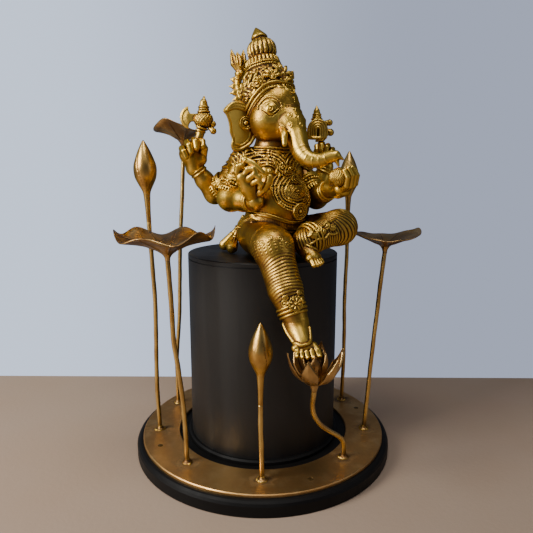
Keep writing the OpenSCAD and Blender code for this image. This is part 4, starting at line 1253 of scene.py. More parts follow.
def ear_clay(root, heading, low, high):
    """A spread ear: a flat field inside a thick rolled rim, its lower lobe curled."""
    clay = Clay(low, high, 0.5)
    t = math.radians(heading)
    out = vec(math.cos(t), math.sin(t), 0)
    face = np.cross(out, (0, 0, 1))
    face = face if face[1] < 0 else -face
    root = vec(*root)

    def at(a, c, n=0.0):
        return root + a * out + vec(0, 0, c) + n * face
    edge = [(-4, 2), (4, 6.5), (10, 9.5), (15, 12), (22, 14.5), (29, 15.5), (36, 14), (42, 10), (48, 3),
            (43.5, -3), (40.5, -12), (39.5, -22), (36.5, -30), (38, -38), (35, -44), (28, -44.5), (22, -42),
            (12, -36.5), (6, -29), (0, -22), (-5, -12)]
    loop = smooth_path([(a, c, 0) for a, c in edge], 1.5)[:, :2]
    inside = polygon_distance(loop)

    def plate(x, y, z):
        a = (x - root[0]) * out[0] + (y - root[1]) * out[1]
        n = (x - root[0]) * face[0] + (y - root[1]) * face[1]
        c = z - root[2] + 0 * a
        a = a + 0 * z
        n = n + 0 * z - 0.0016 * (a ** 2)
        return np.maximum(inside(a, c), np.abs(n) - 1.6).astype(np.float32)
    clay.shape(clay.low, clay.low + clay.step * clay.n, plate)

    def bent(a, c, n=0.0):
        return at(a, c, n + 0.0016 * a * a)
    top = [(3, 4.5), (10, 7.5), (16, 10), (23, 12), (29, 12.8), (35, 11.5), (40, 8), (45.5, 2.5)]
    # The folded upper edge, a hatched band that runs out to a sharp corner.
    for drop, size in ((0.0, 1.7), (3.0, 1.9), (6.0, 1.4)):
        line = [bent(a, c - drop * math.sin(math.pi * min(1, max(0, (a + 2) / 48))) ** 0.5, 1.3) for a,
                c in top]
        clay.wire(line, size, 0.9, taper=lambda f: 1.0 - 0.35 * f)
    for i in range(26):
        a = 5 + 1.45 * i
        c = np.interp(a, [q[0] for q in top], [q[1] for q in top])
        clay.wire([bent(a, c + 1.0, 2.7), bent(a + 0.9, c - 5.4, 2.7)], 0.35, 0.2, carve=True)
    side = [(45, 1), (42, -4), (39.5, -12), (38.5, -22), (35.5, -30), (36.5, -37), (34, -42)]
    clay.wire([bent(a, c, 1.0) for a, c in side], 1.25, 0.8)
    lobe = [(34, -42), (27, -42.5), (21, -40), (12, -34.5), (7, -27), (3, -19)]
    clay.wire([bent(a, c, 1.0) for a, c in lobe], 1.8, 0.8)
    clay.wire([bent(a, c, 1.2) for a, c in ((32, -36), (26, -37.5), (20, -35), (14, -29), (12, -21))], 1.0,
              0.8)
    rng = np.random.default_rng(5)
    for _ in range(70):
        a, c = rng.uniform(8, 36), rng.uniform(-34, 2)
        clay.wire([bent(a, c, 2.1), bent(a + 0.5, c + rng.uniform(2, 4), 2.1)], 0.35, 0.2, carve=True)
    return clay


def polygon_distance(loop):
    """A rule for the signed distance to a closed outline in the plane, negative inside."""
    a = np.asarray(loop, float)
    b = np.roll(a, -1, axis=0)

    def rule(u, v):
        u, v = np.broadcast_arrays(np.asarray(u, np.float32), np.asarray(v, np.float32))
        best = np.full(u.shape, 1e9, np.float32)
        inside = np.zeros(u.shape, bool)
        for (ax, ay), (bx, by) in zip(a, b):
            ex, ey = bx - ax, by - ay
            wx, wy = u - ax, v - ay
            t = np.clip((wx * ex + wy * ey) / max(ex * ex + ey * ey, 1e-9), 0, 1)
            best = np.minimum(best, (wx - t * ex) ** 2 + (wy - t * ey) ** 2)
            if ay != by:
                cross = ((ay > v) != (by > v)) & (u < (bx - ax) * (v - ay) / (by - ay) + ax)
                inside ^= cross
        return np.where(inside, -np.sqrt(best), np.sqrt(best))
    return rule


def layer(base, low, high, rule, under=1.8):
    """A skin laid over another clay. rule(x, y, z) gives the distance to its edge and its height."""
    sl, x, y, z = base.window(vec(*low), vec(*high))
    part = base.d[sl]
    skin = Clay((0, 0, 0), (1, 1, 1), 1)
    skin.step = base.step
    skin.low = vec(x.min(), y.min(), z.min())
    skin.n = np.array(part.shape)
    skin.d = np.full(part.shape, FAR, np.float32)
    near = np.abs(part) < 5
    full = [np.broadcast_to(v, part.shape)[near] for v in (x, y, z)]
    edge, height = rule(*full)
    d = part[near]
    skin.d[near] = np.maximum(np.maximum(d - height, edge), -(d + under))
    return skin


def into(frame_at, x, y, z):
    """World coordinates turned into a local frame's (forward, right, up)."""
    o = frame_at(0, 0, 0)
    axes = [frame_at(*e) - o for e in ((1, 0, 0), (0, 1, 0), (0, 0, 1))]
    return [(x - o[0]) * v[0] + (y - o[1]) * v[1] + (z - o[2]) * v[2] for v in axes]


def bib(torso):
    """The beaded breast ornament that hangs over the belly, with a round boss at its foot."""
    right = [(-4, 46), (3, 44), (10, 40), (16, 35), (21, 29.5), (24.5, 23), (25.8, 16), (25, 9.5),
             (22, 3.5), (17, -1.2), (10.5, -4.5), (3, -6.5), (-3, -8)]
    inside = outline(right + [(-8 - b, c) for b, c in right[::-1]], 2.0)

    def rule(x, y, z):
        a, b, c = into(BELLY, x, y, z)
        edge = inside(b, c)
        rows = 0.85 * np.cos(2 * math.pi * edge / 3.4) * np.clip((edge + 17) / 3, 0, 1)
        run = np.arctan2(c - 16, b + 4)
        roped = ((edge < -2.4) & (edge > -5.6)) | ((edge < -9.2) & (edge > -12.4))
        rope = 0.55 * np.sin(run * 52 + edge * 1.4) * roped
        ground = 0.5 * np.sin(1.9 * b) * np.sin(1.9 * c) * (edge < -14)
        return np.maximum(edge, 6 - a), 1.7 + rows + rope + ground
    skin = layer(torso, (-24, -96, 50), (66, -30, 122), rule)
    for mirror in (False, True):
        pts = [BELLY(43 if c < 12 else 36, (-8 - b) if mirror else b, c) for b, c in right[1:-1]]
        skin.beads(torso.snap(smooth_path(pts, 1.5), 1.9), 1.25, 2.6)
    boss = torso.touch(BELLY(42, -6.5, -7))
    n = torso.facing(boss)
    skin.disc(boss + 0.6 * n, n, 10.8, 2.6)
    ring(skin, boss + 3.2 * n, n, 10.0, 1.0)
    beaded_ring(skin, boss + 3.4 * n, n, 7.5, 1.05, 17)
    ring(skin, boss + 3.2 * n, n, 5.0, 0.8)
    skin.ball(boss + 2.6 * n, 2.8, 0.3)
    skin.ball(boss + 5.0 * n, 1.2, 0.3)
    # Flowers and leaves worked into the middle of the bib.
    for a, b, c, size in ((40, -4, 21, 4.6), (41, -4, 12, 3.6), (33, -4, 36, 5.0)):
        rosette(skin, torso.touch(BELLY(a, b, c), 1.8), size, 7, 0.4)
    for side in (1, -1):
        for a, b, c, r in ((36, 8, 28, 3.6), (38, 9, 19, 3.2), (41, 7, 8, 2.8)):
            spot = torso.touch(BELLY(a, -4 + (b + 4) * side, c), 1.8)
            aim = torso.touch(BELLY(a, -4 + (b + 4 - 5) * side, c - 7), 1.8)
            skin.wire(spiral(skin, spot, aim, r, 1.3, side, 0.2), 0.75, 0.3)
    skin.cast("breast_ornament", ORNAMENT, "chest_medallion")


def collar():
    """Rows of rope and beads round the neck and over the shoulders, dipping at the front, with flowers."""
    base = Clay((-56, -80, 86), (76, 36, 152), 0.7)
    base.ball((12, -24, 109), 33, 14)
    base.bone((20, -40, 67), (12, -24, 109), 40, 33, 6)
    base.bone((-14, -34, 118), (38, -10, 116), 16, 15, 10)
    base.bone((14, -24, 130), (14, -26, 158), 22, 21.5, 12)
    for side in (1, -1):
        base.ball(CHEST(21, 17 * side, -2), 14, 7)
    for name in ARMS:
        arm_shape(base, name)
    front = [(0, -9), (7, -8), (13, -3), (18, 4), (25, 6), (34, 4), (44, -1), (56, 4), (60, 44), (0, 44)]
    back = [(0, 4), (14, 6), (26, 7), (40, 5), (54, 4), (60, 44), (0, 44)]
    inside, behind = (outline(half + [(-b, c) for b, c in half[::-1]], gap) for half,
                      gap in ((front, 2.5), (back, 3.5)))

    def rule(x, y, z):
        a, b, c = into(CHEST, x, y, z)
        edge = np.where(a > 0, inside(b, c), behind(b, c))
        rows = 0.85 * np.cos(2 * math.pi * edge / 4.2)
        run = np.arctan2(b, 30 - c)
        twist = 0.5 * np.sin(run * 60 + edge * 2.2) * (edge < -2)
        return np.maximum(edge, c - 30), 1.7 + rows + twist
    skin = layer(base, (-54, -78, 96), (74, 34, 150), rule)
    for side in (1, -1):
        line = [CHEST(34, 1 * side, -7), CHEST(33, 7 * side, -5), CHEST(31, 12 * side, 1),
                CHEST(28, 17 * side, 10), CHEST(22, 24 * side, 17), CHEST(8, 31 * side, 24),
                CHEST(-4, 33 * side, 26)]
        skin.beads(base.snap(smooth_path(line, 1.5), 1.6), 1.5, 3.2)
        for a, b, c, size in ((33, 9, 2, 4.8), (30, 15, 8, 4.4), (26, 20, 16, 4.4), (34, 4, -9, 4.2),
                              (14, 30, 18, 4.6)):
            rosette(skin, base.touch(CHEST(a, b * side, c), 1.9), size, 7, 0.4)
        for a, b, c in ((30, 13, -1), (32, 9, -8), (26, 20, 8), (20, 27, 13)):
            p = base.touch(CHEST(a, b * side, c), 1.2)
            q = base.touch(CHEST(a, b * side, c - 5), 1.0)
            skin.bone(p, q, 1.2, 2.0, 0.3)
    rosette(skin, base.touch(CHEST(34, 0, 2), 2.2), 6.2, 9, 0.6)
    skin.cast("collar_ropes", ORNAMENT, "collar")


def belt_line():
    """The closed line of the waist belt, under the belly and round the back."""
    front = [BELLY(6, 42, -8), BELLY(16, 39, -9), BELLY(26, 33, -10), BELLY(35, 19.5, -14.6),
             BELLY(38, 4, -20), BELLY(38, -8, -22), BELLY(31, -22, -19.5), BELLY(20, -34, -17),
             BELLY(6, -41, -14)]
    rear = [vec(11 + 38 * math.cos(math.radians(t)), -20 + 38 * math.sin(math.radians(t)),
                50) for t in range(-20, 216, 22)]
    return front + rear + front[:1]


def belt(torso):
    """The rolled waist belt: ropes, beads and bunched cloth between them."""
    clay = Clay((-46, -92, 20), (66, 32, 78), 0.6)
    line = belt_line()
    for drop, size in ((0, 1.1), (3.0, 1.5), (12.5, 1.3)):
        pts = torso.snap(smooth_path([p - vec(0, 0, drop) for p in line], 1.5), 0.5)
        clay.wire(pts, size, 0.5)
    clay.beads(torso.snap(smooth_path([p - vec(0, 0, 15.2) for p in line], 1.5), 0.7), 1.2, 2.8)
    # Bunched folds of the waist cloth, slanting between the two ropes.
    path = smooth_path(line, 2.4)
    for i in range(len(path) - 2):
        ends = [path[i] - vec(0, 0, 4.0), 0.5 * (path[i] + path[i + 1]) - vec(0, 0, 8),
                path[i + 2] - vec(0, 0, 12)]
        clay.wire(torso.snap(ends, 0.4), 1.25, 0.3)
    clay.cast("waist_belt_ropes", ORNAMENT, "waist_belt")


def tassels():
    """The two tails of the waist cloth, hanging at the figure's right hip."""
    clay = Clay((-66, -36, -0.5), (-16, 16, 52), 0.5)
    tails = [[(-27, -3, 38, 4.5), (-33, -2, 33, 4.0), (-38, 0, 27, 3.6), (-45, 0, 18, 5.6),
              (-53, 0, 8.5, 7.2)], [(-29, -8, 34, 4.5), (-34, -12, 27, 4.0), (-37, -15, 20, 3.6),
                                    (-39, -18, 13, 5.8), (-41, -22, 7.5, 7.2)]]
    for tail in tails:
        path = smooth_path(tail, 1.2)
        clay.limb(path, 1.0)
        aim = unit(path[-1, :3] - path[-6, :3])
        side = unit(np.cross(aim, (0, 0, 1)))
        other = np.cross(aim, side)
        top, foot = path[len(path) // 2], path[-1]
        for d in circle(side, other, 9):
            clay.wire([top[:3] + d * top[3], 0.5 * (top[:3] + foot[:3]) + d * (0.5 * (top[3] + foot[3])),
                       foot[:3] + d * foot[3]], 0.75, 0.4)
        ring(clay, path[-1, :3] + aim * 1.2, aim, 6.6, 1.1)
        for i in (2, 8, len(path) // 2):
            ring(clay, path[i, :3], unit(path[i + 1, :3] - path[i - 1, :3]), path[i, 3] + 0.3, 1.0)
    clay.ball((-29, -5, 38), 5.5, 1.5)
    clay.bone((-29, -5, 39), (-26, -8, 48), 4.4, 3.0, 1.0)
    ring(clay, (-31, -6, 39), (-1, -0.4, 0.2), 4.6, 1.0)
    clay.cast("waist_cloth_tails", ORNAMENT, "hip_tassels")


def arm_shape(clay, name):
    """One arm from its shoulder to its wrist."""
    (ax, ay, az, ar), (bx, by, bz, br), (cx, cy, cz, cr) = ARMS[name]
    s, e, w = vec(ax, ay, az), vec(bx, by, bz), vec(cx, cy, cz)
    clay.bone(s, e, ar, br - 1.5, 2)
    clay.ball(s, ar + 0.5, 4)
    clay.ball(e, br, 5)
    middle = 0.45 * e + 0.55 * w
    clay.bone(e, middle, br - 0.5, 0.5 * (br + cr) + 1.0, 5)
    clay.bone(middle, w, 0.5 * (br + cr) + 1.0, cr, 3)


def arms():
    """The four arms, without their hands."""
    spans = {"right_front": ((-62, -100, 54), (2, -14, 140)),
             "right_rear": ((-102, -36, 60), (-4, 28, 140)), "left_front": ((24, -78, 56), (100, 14, 136)),
             "left_rear": ((24, -12, 58), (104, 42, 138)), }
    for name, joints in ARMS.items():
        clay = Clay(spans[name][0], spans[name][1], 0.75)
        arm_shape(clay, name)
        s, e, w = (vec(*joint[:3]) for joint in joints)
        br = joints[1][3]
        bend = unit(unit(s - e) + unit(w - e))
        # The soft crease inside the elbow.
        across = unit(np.cross(s - e, w - e))
        crease = clay.snap([e + bend * br + across * t for t in (-0.7 * br, 0, 0.7 * br)], 0.3)
        clay.wire(crease, 1.2, 2.5, carve=True)
        clay.cast(name + "_limb", BRASS, name + "_arm")


def armlets():
    """A band on each upper arm: ropes, beads, a flower with a crest, and a row of drops."""
    clay = Clay((-76, -64, 68), (86, 44, 140), 0.65)
    bands = [((-34, -39, 92), (-18, -4, -44), 17.6), ((-54, 1, 90), (-40, 22, -40), 15.6),
             ((60, -24, 91), (26, -26, -42), 15.2), ((62, 16, 93), (28, 16, -42), 15.2)]
    for c, axis, r in bands:
        c, n = vec(*c), unit(axis)
        for shift, wire in ((-7.5, 1.3), (-4.3, 1.5), (4.3, 1.5), (7.5, 1.2)):
            ring(clay, c + shift * n, n, r + 0.3 - 0.06 * shift, wire, twist=22 if abs(shift) < 5 else 0)
        beaded_ring(clay, c, n, r + 0.6, 1.9, int(2 * math.pi * r / 4.0))
        face = unit(vec(-0.45, -0.9, 0.1) - (vec(-0.45, -0.9, 0.1) @ n) * n)
        cross = np.cross(n, face)
        out = c + face * (r + 1.0)
        clay.ball(out, 3.4, 0.8)
        for d in circle(n, cross, 8):
            clay.bone(out + 1.0 * face + 2.0 * d, out + 0.4 * face + 4.6 * d, 0.8, 1.3, 0.2)
        # A pointed crest above the flower, and drops that hang from the lower edge.
        for k in range(-2, 3):
            d = unit(-n + 0.3 * k * cross)
            clay.bone(out + 5 * d - 0.8 * face, out + (13 - 1.8 * abs(k)) * d - 1.6 * face, 1.7, 0.8, 0.4)
        for k in range(-4, 5):
            a = 0.24 * k
            d = math.cos(a) * face + math.sin(a) * cross
            foot = c + 8.5 * n + (r + 0.6) * d
            clay.bone(foot, foot + 3.4 * n - 0.5 * d, 0.8, 1.5, 0.3)
    clay.cast("armlet_bands", ORNAMENT, "armlets")


def bangles():
    """Three rings at each wrist, the middle one a rope."""
    clay = Clay((-102, -96, 60), (104, 34, 124), 0.6)
    for c, axis, r in (((-12, -78, 73), (33, -44, -2), 12.4), ((-87, -1, 109), (-24, -11, 34), 10.6),
                       ((81, -57, 84), (14, -28, 12), 11.4), ((86, 18, 111), (16, -4, 38), 10.8)):
        c, n = vec(*c), unit(axis)
        ring(clay, c - 2.3 * n, n, r + 0.2, 1.5)
        ring(clay, c + 2.3 * n, n, r - 0.1, 1.5)
        ring(clay, c, n, r - 0.4, 1.2, twist=20)
    clay.cast("bangle_rings", ORNAMENT, "bangles")


def anklets():
    """Three rings at each ankle."""
    clay = Clay((14, -172, -74), (86, -60, 48), 0.6)
    for c, axis, r, wire, twist in (((34.5, -138.5, -43), (12, -12, -33), 16.4, 1.5, 0),
                                    ((36, -140, -47), (12, -12, -33), 16.0, 1.7, 24),
                                    ((37.3, -141.3, -51), (12, -12, -33), 15.4, 1.5, 0),
                                    ((58, -87, 28), (-45, -34, -14), 18.6, 1.5, 24),
                                    ((62, -84, 29.5), (-45, -34, -14), 19.0, 1.3, 0),
                                    ((54.5, -90, 26.5), (-45, -34, -14), 17.6, 1.3, 0)):
        ring(clay, c, axis, r, wire, twist)
    clay.cast("anklet_rings", ORNAMENT, "anklets")


def right_leg():
    """The hanging leg: pleats arched down the shin, a dotted knee, and an ornament over the ankle."""
    clay = Clay((-34, -166, -74), (64, -10, 54), 0.7)
    hip, knee, shin, ankle = vec(-4, -38, 26), vec(14, -112, 21), vec(28, -132, -24), vec(40, -144, -57)
    clay.bone(hip, knee, 26, 23, 0)
    clay.ball(knee, 23.5, 5)
    clay.bone(knee, shin, 22, 19.5, 6)
    clay.bone(shin, ankle, 19.5, 14, 4)
    down = unit(ankle - knee)
    front = unit(vec(0.15, -1, 0.1) - (vec(0.15, -1, 0.1) @ down) * down)
    side = np.cross(down, front)

    def pleats(x, y, z):
        px, py, pz = x - knee[0], y - knee[1], z - knee[2]
        t = px * down[0] + py * down[1] + pz * down[2]
        f = px * front[0] + py * front[1] + pz * front[2]
        s = px * side[0] + py * side[1] + pz * side[2]
        a = np.arctan2(s, f)
        arch = t - 10.5 * np.exp(-t / 45) * (1 - np.cos(a + 0.25)) + 0.7 * np.sin(2.6 * a + 0.13 * t)
        phase = (arch / 3.7) % 1
        fold = phase ** 0.8 * np.clip((1 - phase) / 0.22, 0, 1)
        on_shin = np.clip((t - 12) / 6, 0, 1) * np.clip((69 - t) / 3, 0, 1)
        fade = np.clip((1.15 - a) / 0.5, 0.12, 1) * np.clip((a + 2.4) / 0.4, 0.12, 1)
        dots = 0.45 * np.clip(np.cos(a * 24), 0, 1) * np.cos(2 * math.pi * arch / 3.7)
        on_knee = np.clip((t + 17) / 3, 0, 1) * np.clip((13 - t) / 4, 0, 1)
        return 1.15 * (fold - 0.35) * on_shin * fade + dots * on_knee
    clay.relief(pleats, 3.5, (-30, -164, -60), (64, -80, 30))
    # Engraved hem lines round the knee.
    for i in range(4):
        c = knee + (hip - knee) * (0.06 + 0.045 * i)
        n = unit(knee - hip)
        e1 = unit(np.cross(n, (0, 0, 1)))
        e2 = np.cross(e1, n)
        pts = [c + 24.5 * (math.cos(a) * e1 + math.sin(a) * e2) for a in np.linspace(-0.5, math.pi + 0.5, 24)]
        clay.wire(clay.snap(pts, 0.1), 0.5, 0.4, carve=i % 2 == 0)
    # Small scrolls in a row over the knee.
    for b, c, r, hand in ((-16, 5, 3.6, 1), (-6, 11, 3.8, -1), (5, 11, 3.8, 1), (15, 5, 3.6, -1)):
        at = clay.touch(knee + vec(3 + b, -20, 2 + c))
        clay.wire(spiral(clay, at, at + vec(0, 0, -8), r, 1.3, hand, -0.1), 0.7, 0.4)
    # A rosette in a ring of dots over the ankle.
    low = clay.touch(knee + 0.82 * (ankle - knee) + front * 18 - side * 3)
    n = clay.facing(low)
    clay.disc(low, n, 8.2, 1.8)
    rosette(clay, low + 1.6 * n, 6.4, 8, 0.3)
    beaded_ring(clay, low + 1.2 * n, n, 8.2, 0.9, 17)
    for k in (-1, 1):
        for rise, r in ((3, 4.6), (10, 3.4)):
            at = clay.touch(low + side * (13.0 - 0.4 * rise) * k - down * rise)
            clay.wire(spiral(clay, at, low, r, 1.5, k, 0.4), 1.0, 0.4)
    clay.cast("right_leg_cloth", CLOTH_PATINA_AND_SHADE, "right_leg")


def left_leg():
    """The folded leg: pleats fanned round the knee, and a band of scrolls along the shin."""
    clay = Clay((2, -118, -0.5), (124, 8, 64), 0.7)
    hip, knee, ankle = vec(34, -20, 24), vec(97, -58, 39), vec(52, -92, 25)
    clay.bone(hip, knee, 24, 21, 0)
    clay.ball(knee, 21, 5)
    clay.bone(knee, ankle, 20.5, 16, 6)
    pivot = vec(54, -58, 30)

    def pleats(x, y, z):
        a = np.arctan2(y - pivot[1], x - pivot[0])
        r = np.sqrt((x - pivot[0]) ** 2 + (y - pivot[1]) ** 2)
        tilt = 0.35 * (z - 38) / 45
        phase = ((a + tilt) / math.radians(4.6) + 0.15 * np.sin(r * 0.15)) % 1
        fold = np.sin(math.pi * phase) ** 1.2
        keep = np.clip((r - 14) / 8, 0, 1) * np.clip((a + 1.9) / 0.15, 0, 1) * np.clip((1.0 - a) / 0.2, 0, 1)
        return 1.15 * (fold - 0.5) * keep
    clay.relief(pleats, 3.5)
    # The worked band of scrolls along the shin.
    along = unit(ankle - knee)
    outer = vec(0, -1, 0.5) * 17
    for i in range(6):
        way = 1 if i % 2 else -1
        p = clay.touch(knee + (ankle - knee) * (0.30 + 0.12 * i) + outer + vec(0, 0, 2.5 * way))
        clay.ball(p - 2.6 * clay.facing(p), 4.4, 1.5)
        clay.wire(spiral(clay, p, p + along * 8 * way, 4.8, 1.6, way, 0.5), 1.05, 0.4)
    for lift in (8.5, -9.5):
        pts = [knee + (ankle - knee) * f + outer + vec(0, 0, lift + 1.5 * math.sin(20 * f))
               for f in (0.18, 0.3, 0.42, 0.54, 0.66, 0.78, 0.9)]
        clay.wire(on(clay, pts, 0.3), 1.1, 0.5)
    clay.shape(clay.low, (124, 8, 0), over_seat, 0, True)
    clay.cast("left_leg_cloth", CLOTH_PATINA_AND_SHADE, "left_leg")


# A foot's toes: place across it, reach and radius.
TOES = ((-9.0, 4.6, 3.1), (-4.2, 5.4, 2.5), (0.0, 4.6, 2.3), (3.9, 3.2, 2.15), (7.4, 1.4, 2.0))


def foot(name, node, line, sideways, low, high, strap, spread):
    """A foot along a line of [x, y, z, radius], with five toes set across its end."""
    clay = Clay(low, high, 0.5)
    path = smooth_path(line, 1.5)
    clay.limb(path, 1.5)
    aim = unit(path[-1, :3] - path[-8, :3])
    s = unit(sideways)
    up = np.cross(s, aim)
    up = up if up[2] > 0 else -up
    end = path[-1, :3]
    clay.bone(end - s * 7.5 * spread, end + s * 7.0 * spread, 5.0, 4.4, 3.0)
    for off, ahead, r in TOES:
        off, r = off * spread, r * (0.4 + 0.6 * spread)
        a = end + s * off * 0.8 + up * 0.8
        b = end + s * off + 7 * aim + up * 1.0
        c = end + s * off * 1.06 + (8 + ahead) * aim - up * 0.6
        clay.bone(a, b, r + 0.3, r, 0.5)
        clay.bone(b, c, r, r * 0.92, 0.3)
        clay.ball(c + aim * r * 0.4 + up * r * 0.6, r * 0.5, 0.3)
    for pts, size in strap:
        clay.wire(clay.snap(smooth_path(pts, 1.5), 0.3), size, 0.5)
    clay.cast(name, CLOTH_PATINA_AND_SHADE, node)


def feet():
    """The right foot on the lotus, with a strap, and the left foot on the seat."""
    foot("right_foot_toes", "right_foot",
         [(40, -143, -58, 14), (41.5, -148, -65, 12.6), (44, -155, -71, 10.6), (46.5, -162, -77, 8.6),
          (48, -166, -80.5, 6.6)],
         (-0.93, -0.36, 0), (12, -196, -104), (88, -126, -44),
         [([(26, -146, -60), (28, -156, -69), (36, -166, -76), (46, -169, -78), (55, -165, -73),
            (59, -152, -62)],
           1.7)], 1.45)
    foot("left_foot_toes", "left_foot",
         [(50, -93, 21, 11), (54, -99, 16, 9.6), (58, -104.5, 11.5, 8.2), (61.5, -109.5, 8.5, 6.4)],
         (0.76, 0.65, 0), (32, -136, -1.5), (94, -74, 38),
         [([(50, -102, 26), (56, -108, 22), (64, -106, 18), (68, -98, 14)], 1.3)], 1.0)


# A hand's fingers from the little one to the forefinger: place across the palm, radius and bone lengths.
FINGERS = ((-8.6, 3.1, (7.5, 6.5, 5.5)), (-2.9, 3.5, (9, 7.5, 6)), (2.9, 3.6, (9.5, 8, 6)),
           (8.6, 3.5, (8.5, 7, 5.5)))
FAN_OUT = 1.4
# How far each joint of those fingers bends round a shaft, in degrees.
GRIP = ((50, 65, 60), (44, 65, 60), (36, 62, 60), (26, 58, 60))


def hand(clay, wrist, reach, facing, side, bends, thumb, size):
    """A plump hand that reaches one way and faces another. side is 1 for a right hand, -1 for a left one."""
    f = unit(reach)
    n = unit(vec(*facing) - (vec(*facing) @ f) * f)
    s = np.cross(f, n) * side
    w = vec(*wrist)
    g = size
    clay.bone(w - 3 * f, w + 7 * f * g, 8.2 * g, 8.6 * g, 0)
    clay.ball(w + 11 * f * g, 1, 3, (11 * g, 12 * g, 6.4 * g), (f, s, n))
    clay.ball(w + 5 * f * g + 7 * s * g + 2.5 * n * g, 6 * g, 3)
    for (off, radius, lengths), angles in zip(FINGERS, bends):
        p = w + (15.5 - 0.04 * off * off) * f * g + off * s * g * 0.95
        turn = 0.0
        radius = radius * g
        lean = s * math.radians(FAN_OUT * off)
        clay.ball(p, radius + 0.5, 1.5)
        for angle, length in zip(angles, lengths):
            turn += math.radians(angle)
            d = unit(math.cos(turn) * (f + lean) + math.sin(turn) * n)
            q = p + d * length * g
            clay.bone(p, q, radius, radius * 0.93, 0.35)
            p, radius = q, radius * 0.93
        clay.ball(p - 0.35 * radius * n * math.cos(turn) + 0.2 * radius * d, radius * 0.62, 0.2)
    p = w + 6 * f * g + 9 * s * g + 2 * n * g
    for k, (x, y, z) in enumerate(thumb):
        q = p + (x * f + y * s + z * n) * g
        clay.bone(p, q, (4.1, 3.7, 3.2)[k] * g, (3.7, 3.3, 2.8)[k] * g, 0.5)
        p = q


def fingers(clay, chains, radius):
    """Fingers through lists of points, thinner toward the tip."""
    for chain, r in zip(chains, radius):
        for i in range(len(chain) - 1):
            last = i == len(chain) - 2
            clay.bone(chain[i], chain[i + 1], r * (1 - 0.05 * i), r * (0.82 if last else 0.95 - 0.05 * i),
                      0.4)


def hands():
    """The four hands, each fitted to what it holds."""
    clay = Clay((-124, -48, 96), (-56, 20, 176), 0.55)
    hand(clay, (-92, -3, 116), (-0.14, -0.08, 0.98), (0.3, -0.95, 0), 1, GRIP, ((8, 2.5, 3), (7, -3, 4)),
         1.42)
    clay.cast("right_rear_hand_fingers", BRASS, "right_rear_hand")

    # The right front hand: its back to the front, the forefinger hooked round the broken tusk.
    clay = Clay((-42, -116, 64), (20, -72, 130), 0.5)
    clay.bone((-9, -85, 77), (-16, -91, 91), 9.6, 10.0)
    clay.bone((-15, -90, 89), (-22, -95, 101), 9.6, 8.0, 3)
    clay.ball((-11, -90, 93), 8.5, 4)
    fingers(clay, (((-24, -95, 97), (-27.5, -98, 107), (-26, -100, 113.5), (-21.5, -101.5, 115)),
                   ((-20, -97, 102), (-15, -101, 110), (-8, -103, 111), (-5, -103, 105)),
                   ((-15, -98, 99), (-7.5, -103, 104.5), (-2, -103.5, 101), (-2.5, -102, 95.5)),
                   ((-12, -97, 93), (-4, -102, 97), (0.5, -102, 93), (-1.5, -100, 88.5)),
                   ((-6, -89, 80), (3, -94, 87), (9, -97, 96), (10, -98, 101))), (4.3, 4.3, 4.0, 3.6, 5.0))
    for a, b in (((-24, -95, 98), 4.6), ((-19, -98, 102), 4.6), ((-14, -99, 99), 4.4)):
        clay.ball(a, b, 2.0)
    clay.cast("right_front_hand_fingers", BRASS, "right_front_hand")

    # The left front hand: cupped, the fingers up round the right of the sweet.
    clay = Clay((68, -112, 70), (124, -52, 124), 0.5)
    clay.bone((84, -63, 87), (92, -76, 85), 9.4, 9.0)
    clay.bone((92, -76, 85), (99, -83, 86), 9.0, 8.0, 3)
    clay.ball((93, -86, 87), 8.0, 4)
    fingers(clay, (((93, -88, 84), (98.5, -99, 91), (99.5, -102.5, 101), (96, -101, 108)),
                   ((97, -86, 85), (104, -95, 91), (105, -99, 103), (101, -98, 111.5)),
                   ((100, -82, 86), (109, -88, 92), (110, -92.5, 104), (106, -92, 112)),
                   ((101, -78, 88), (112.5, -81, 93), (113.5, -86, 103), (110, -86, 110)),
                   ((87, -72, 90), (84, -80, 100), (87, -85, 107))), (3.6, 3.6, 3.5, 3.1, 4.2))
    clay.cast("left_front_hand_fingers", BRASS, "left_front_hand")

    clay = Clay((56, -18, 106), (118, 38, 172), 0.5)
    hand(clay, (87, 18, 119), (0.0, -0.02, 1.0), (-0.3, -0.95, 0), -1, GRIP, ((8, 2.5, 3), (6, -3, 4)), 1.12)
    clay.cast("left_rear_hand_fingers", BRASS, "left_rear_hand")


def knob(clay, root, end, radius):
    """A lobe with a ring at its end."""
    clay.bone(root, end, radius * 0.8, radius, 1.0)
    ring(clay, end, vec(*end) - vec(*root), radius * 0.9, 0.8)


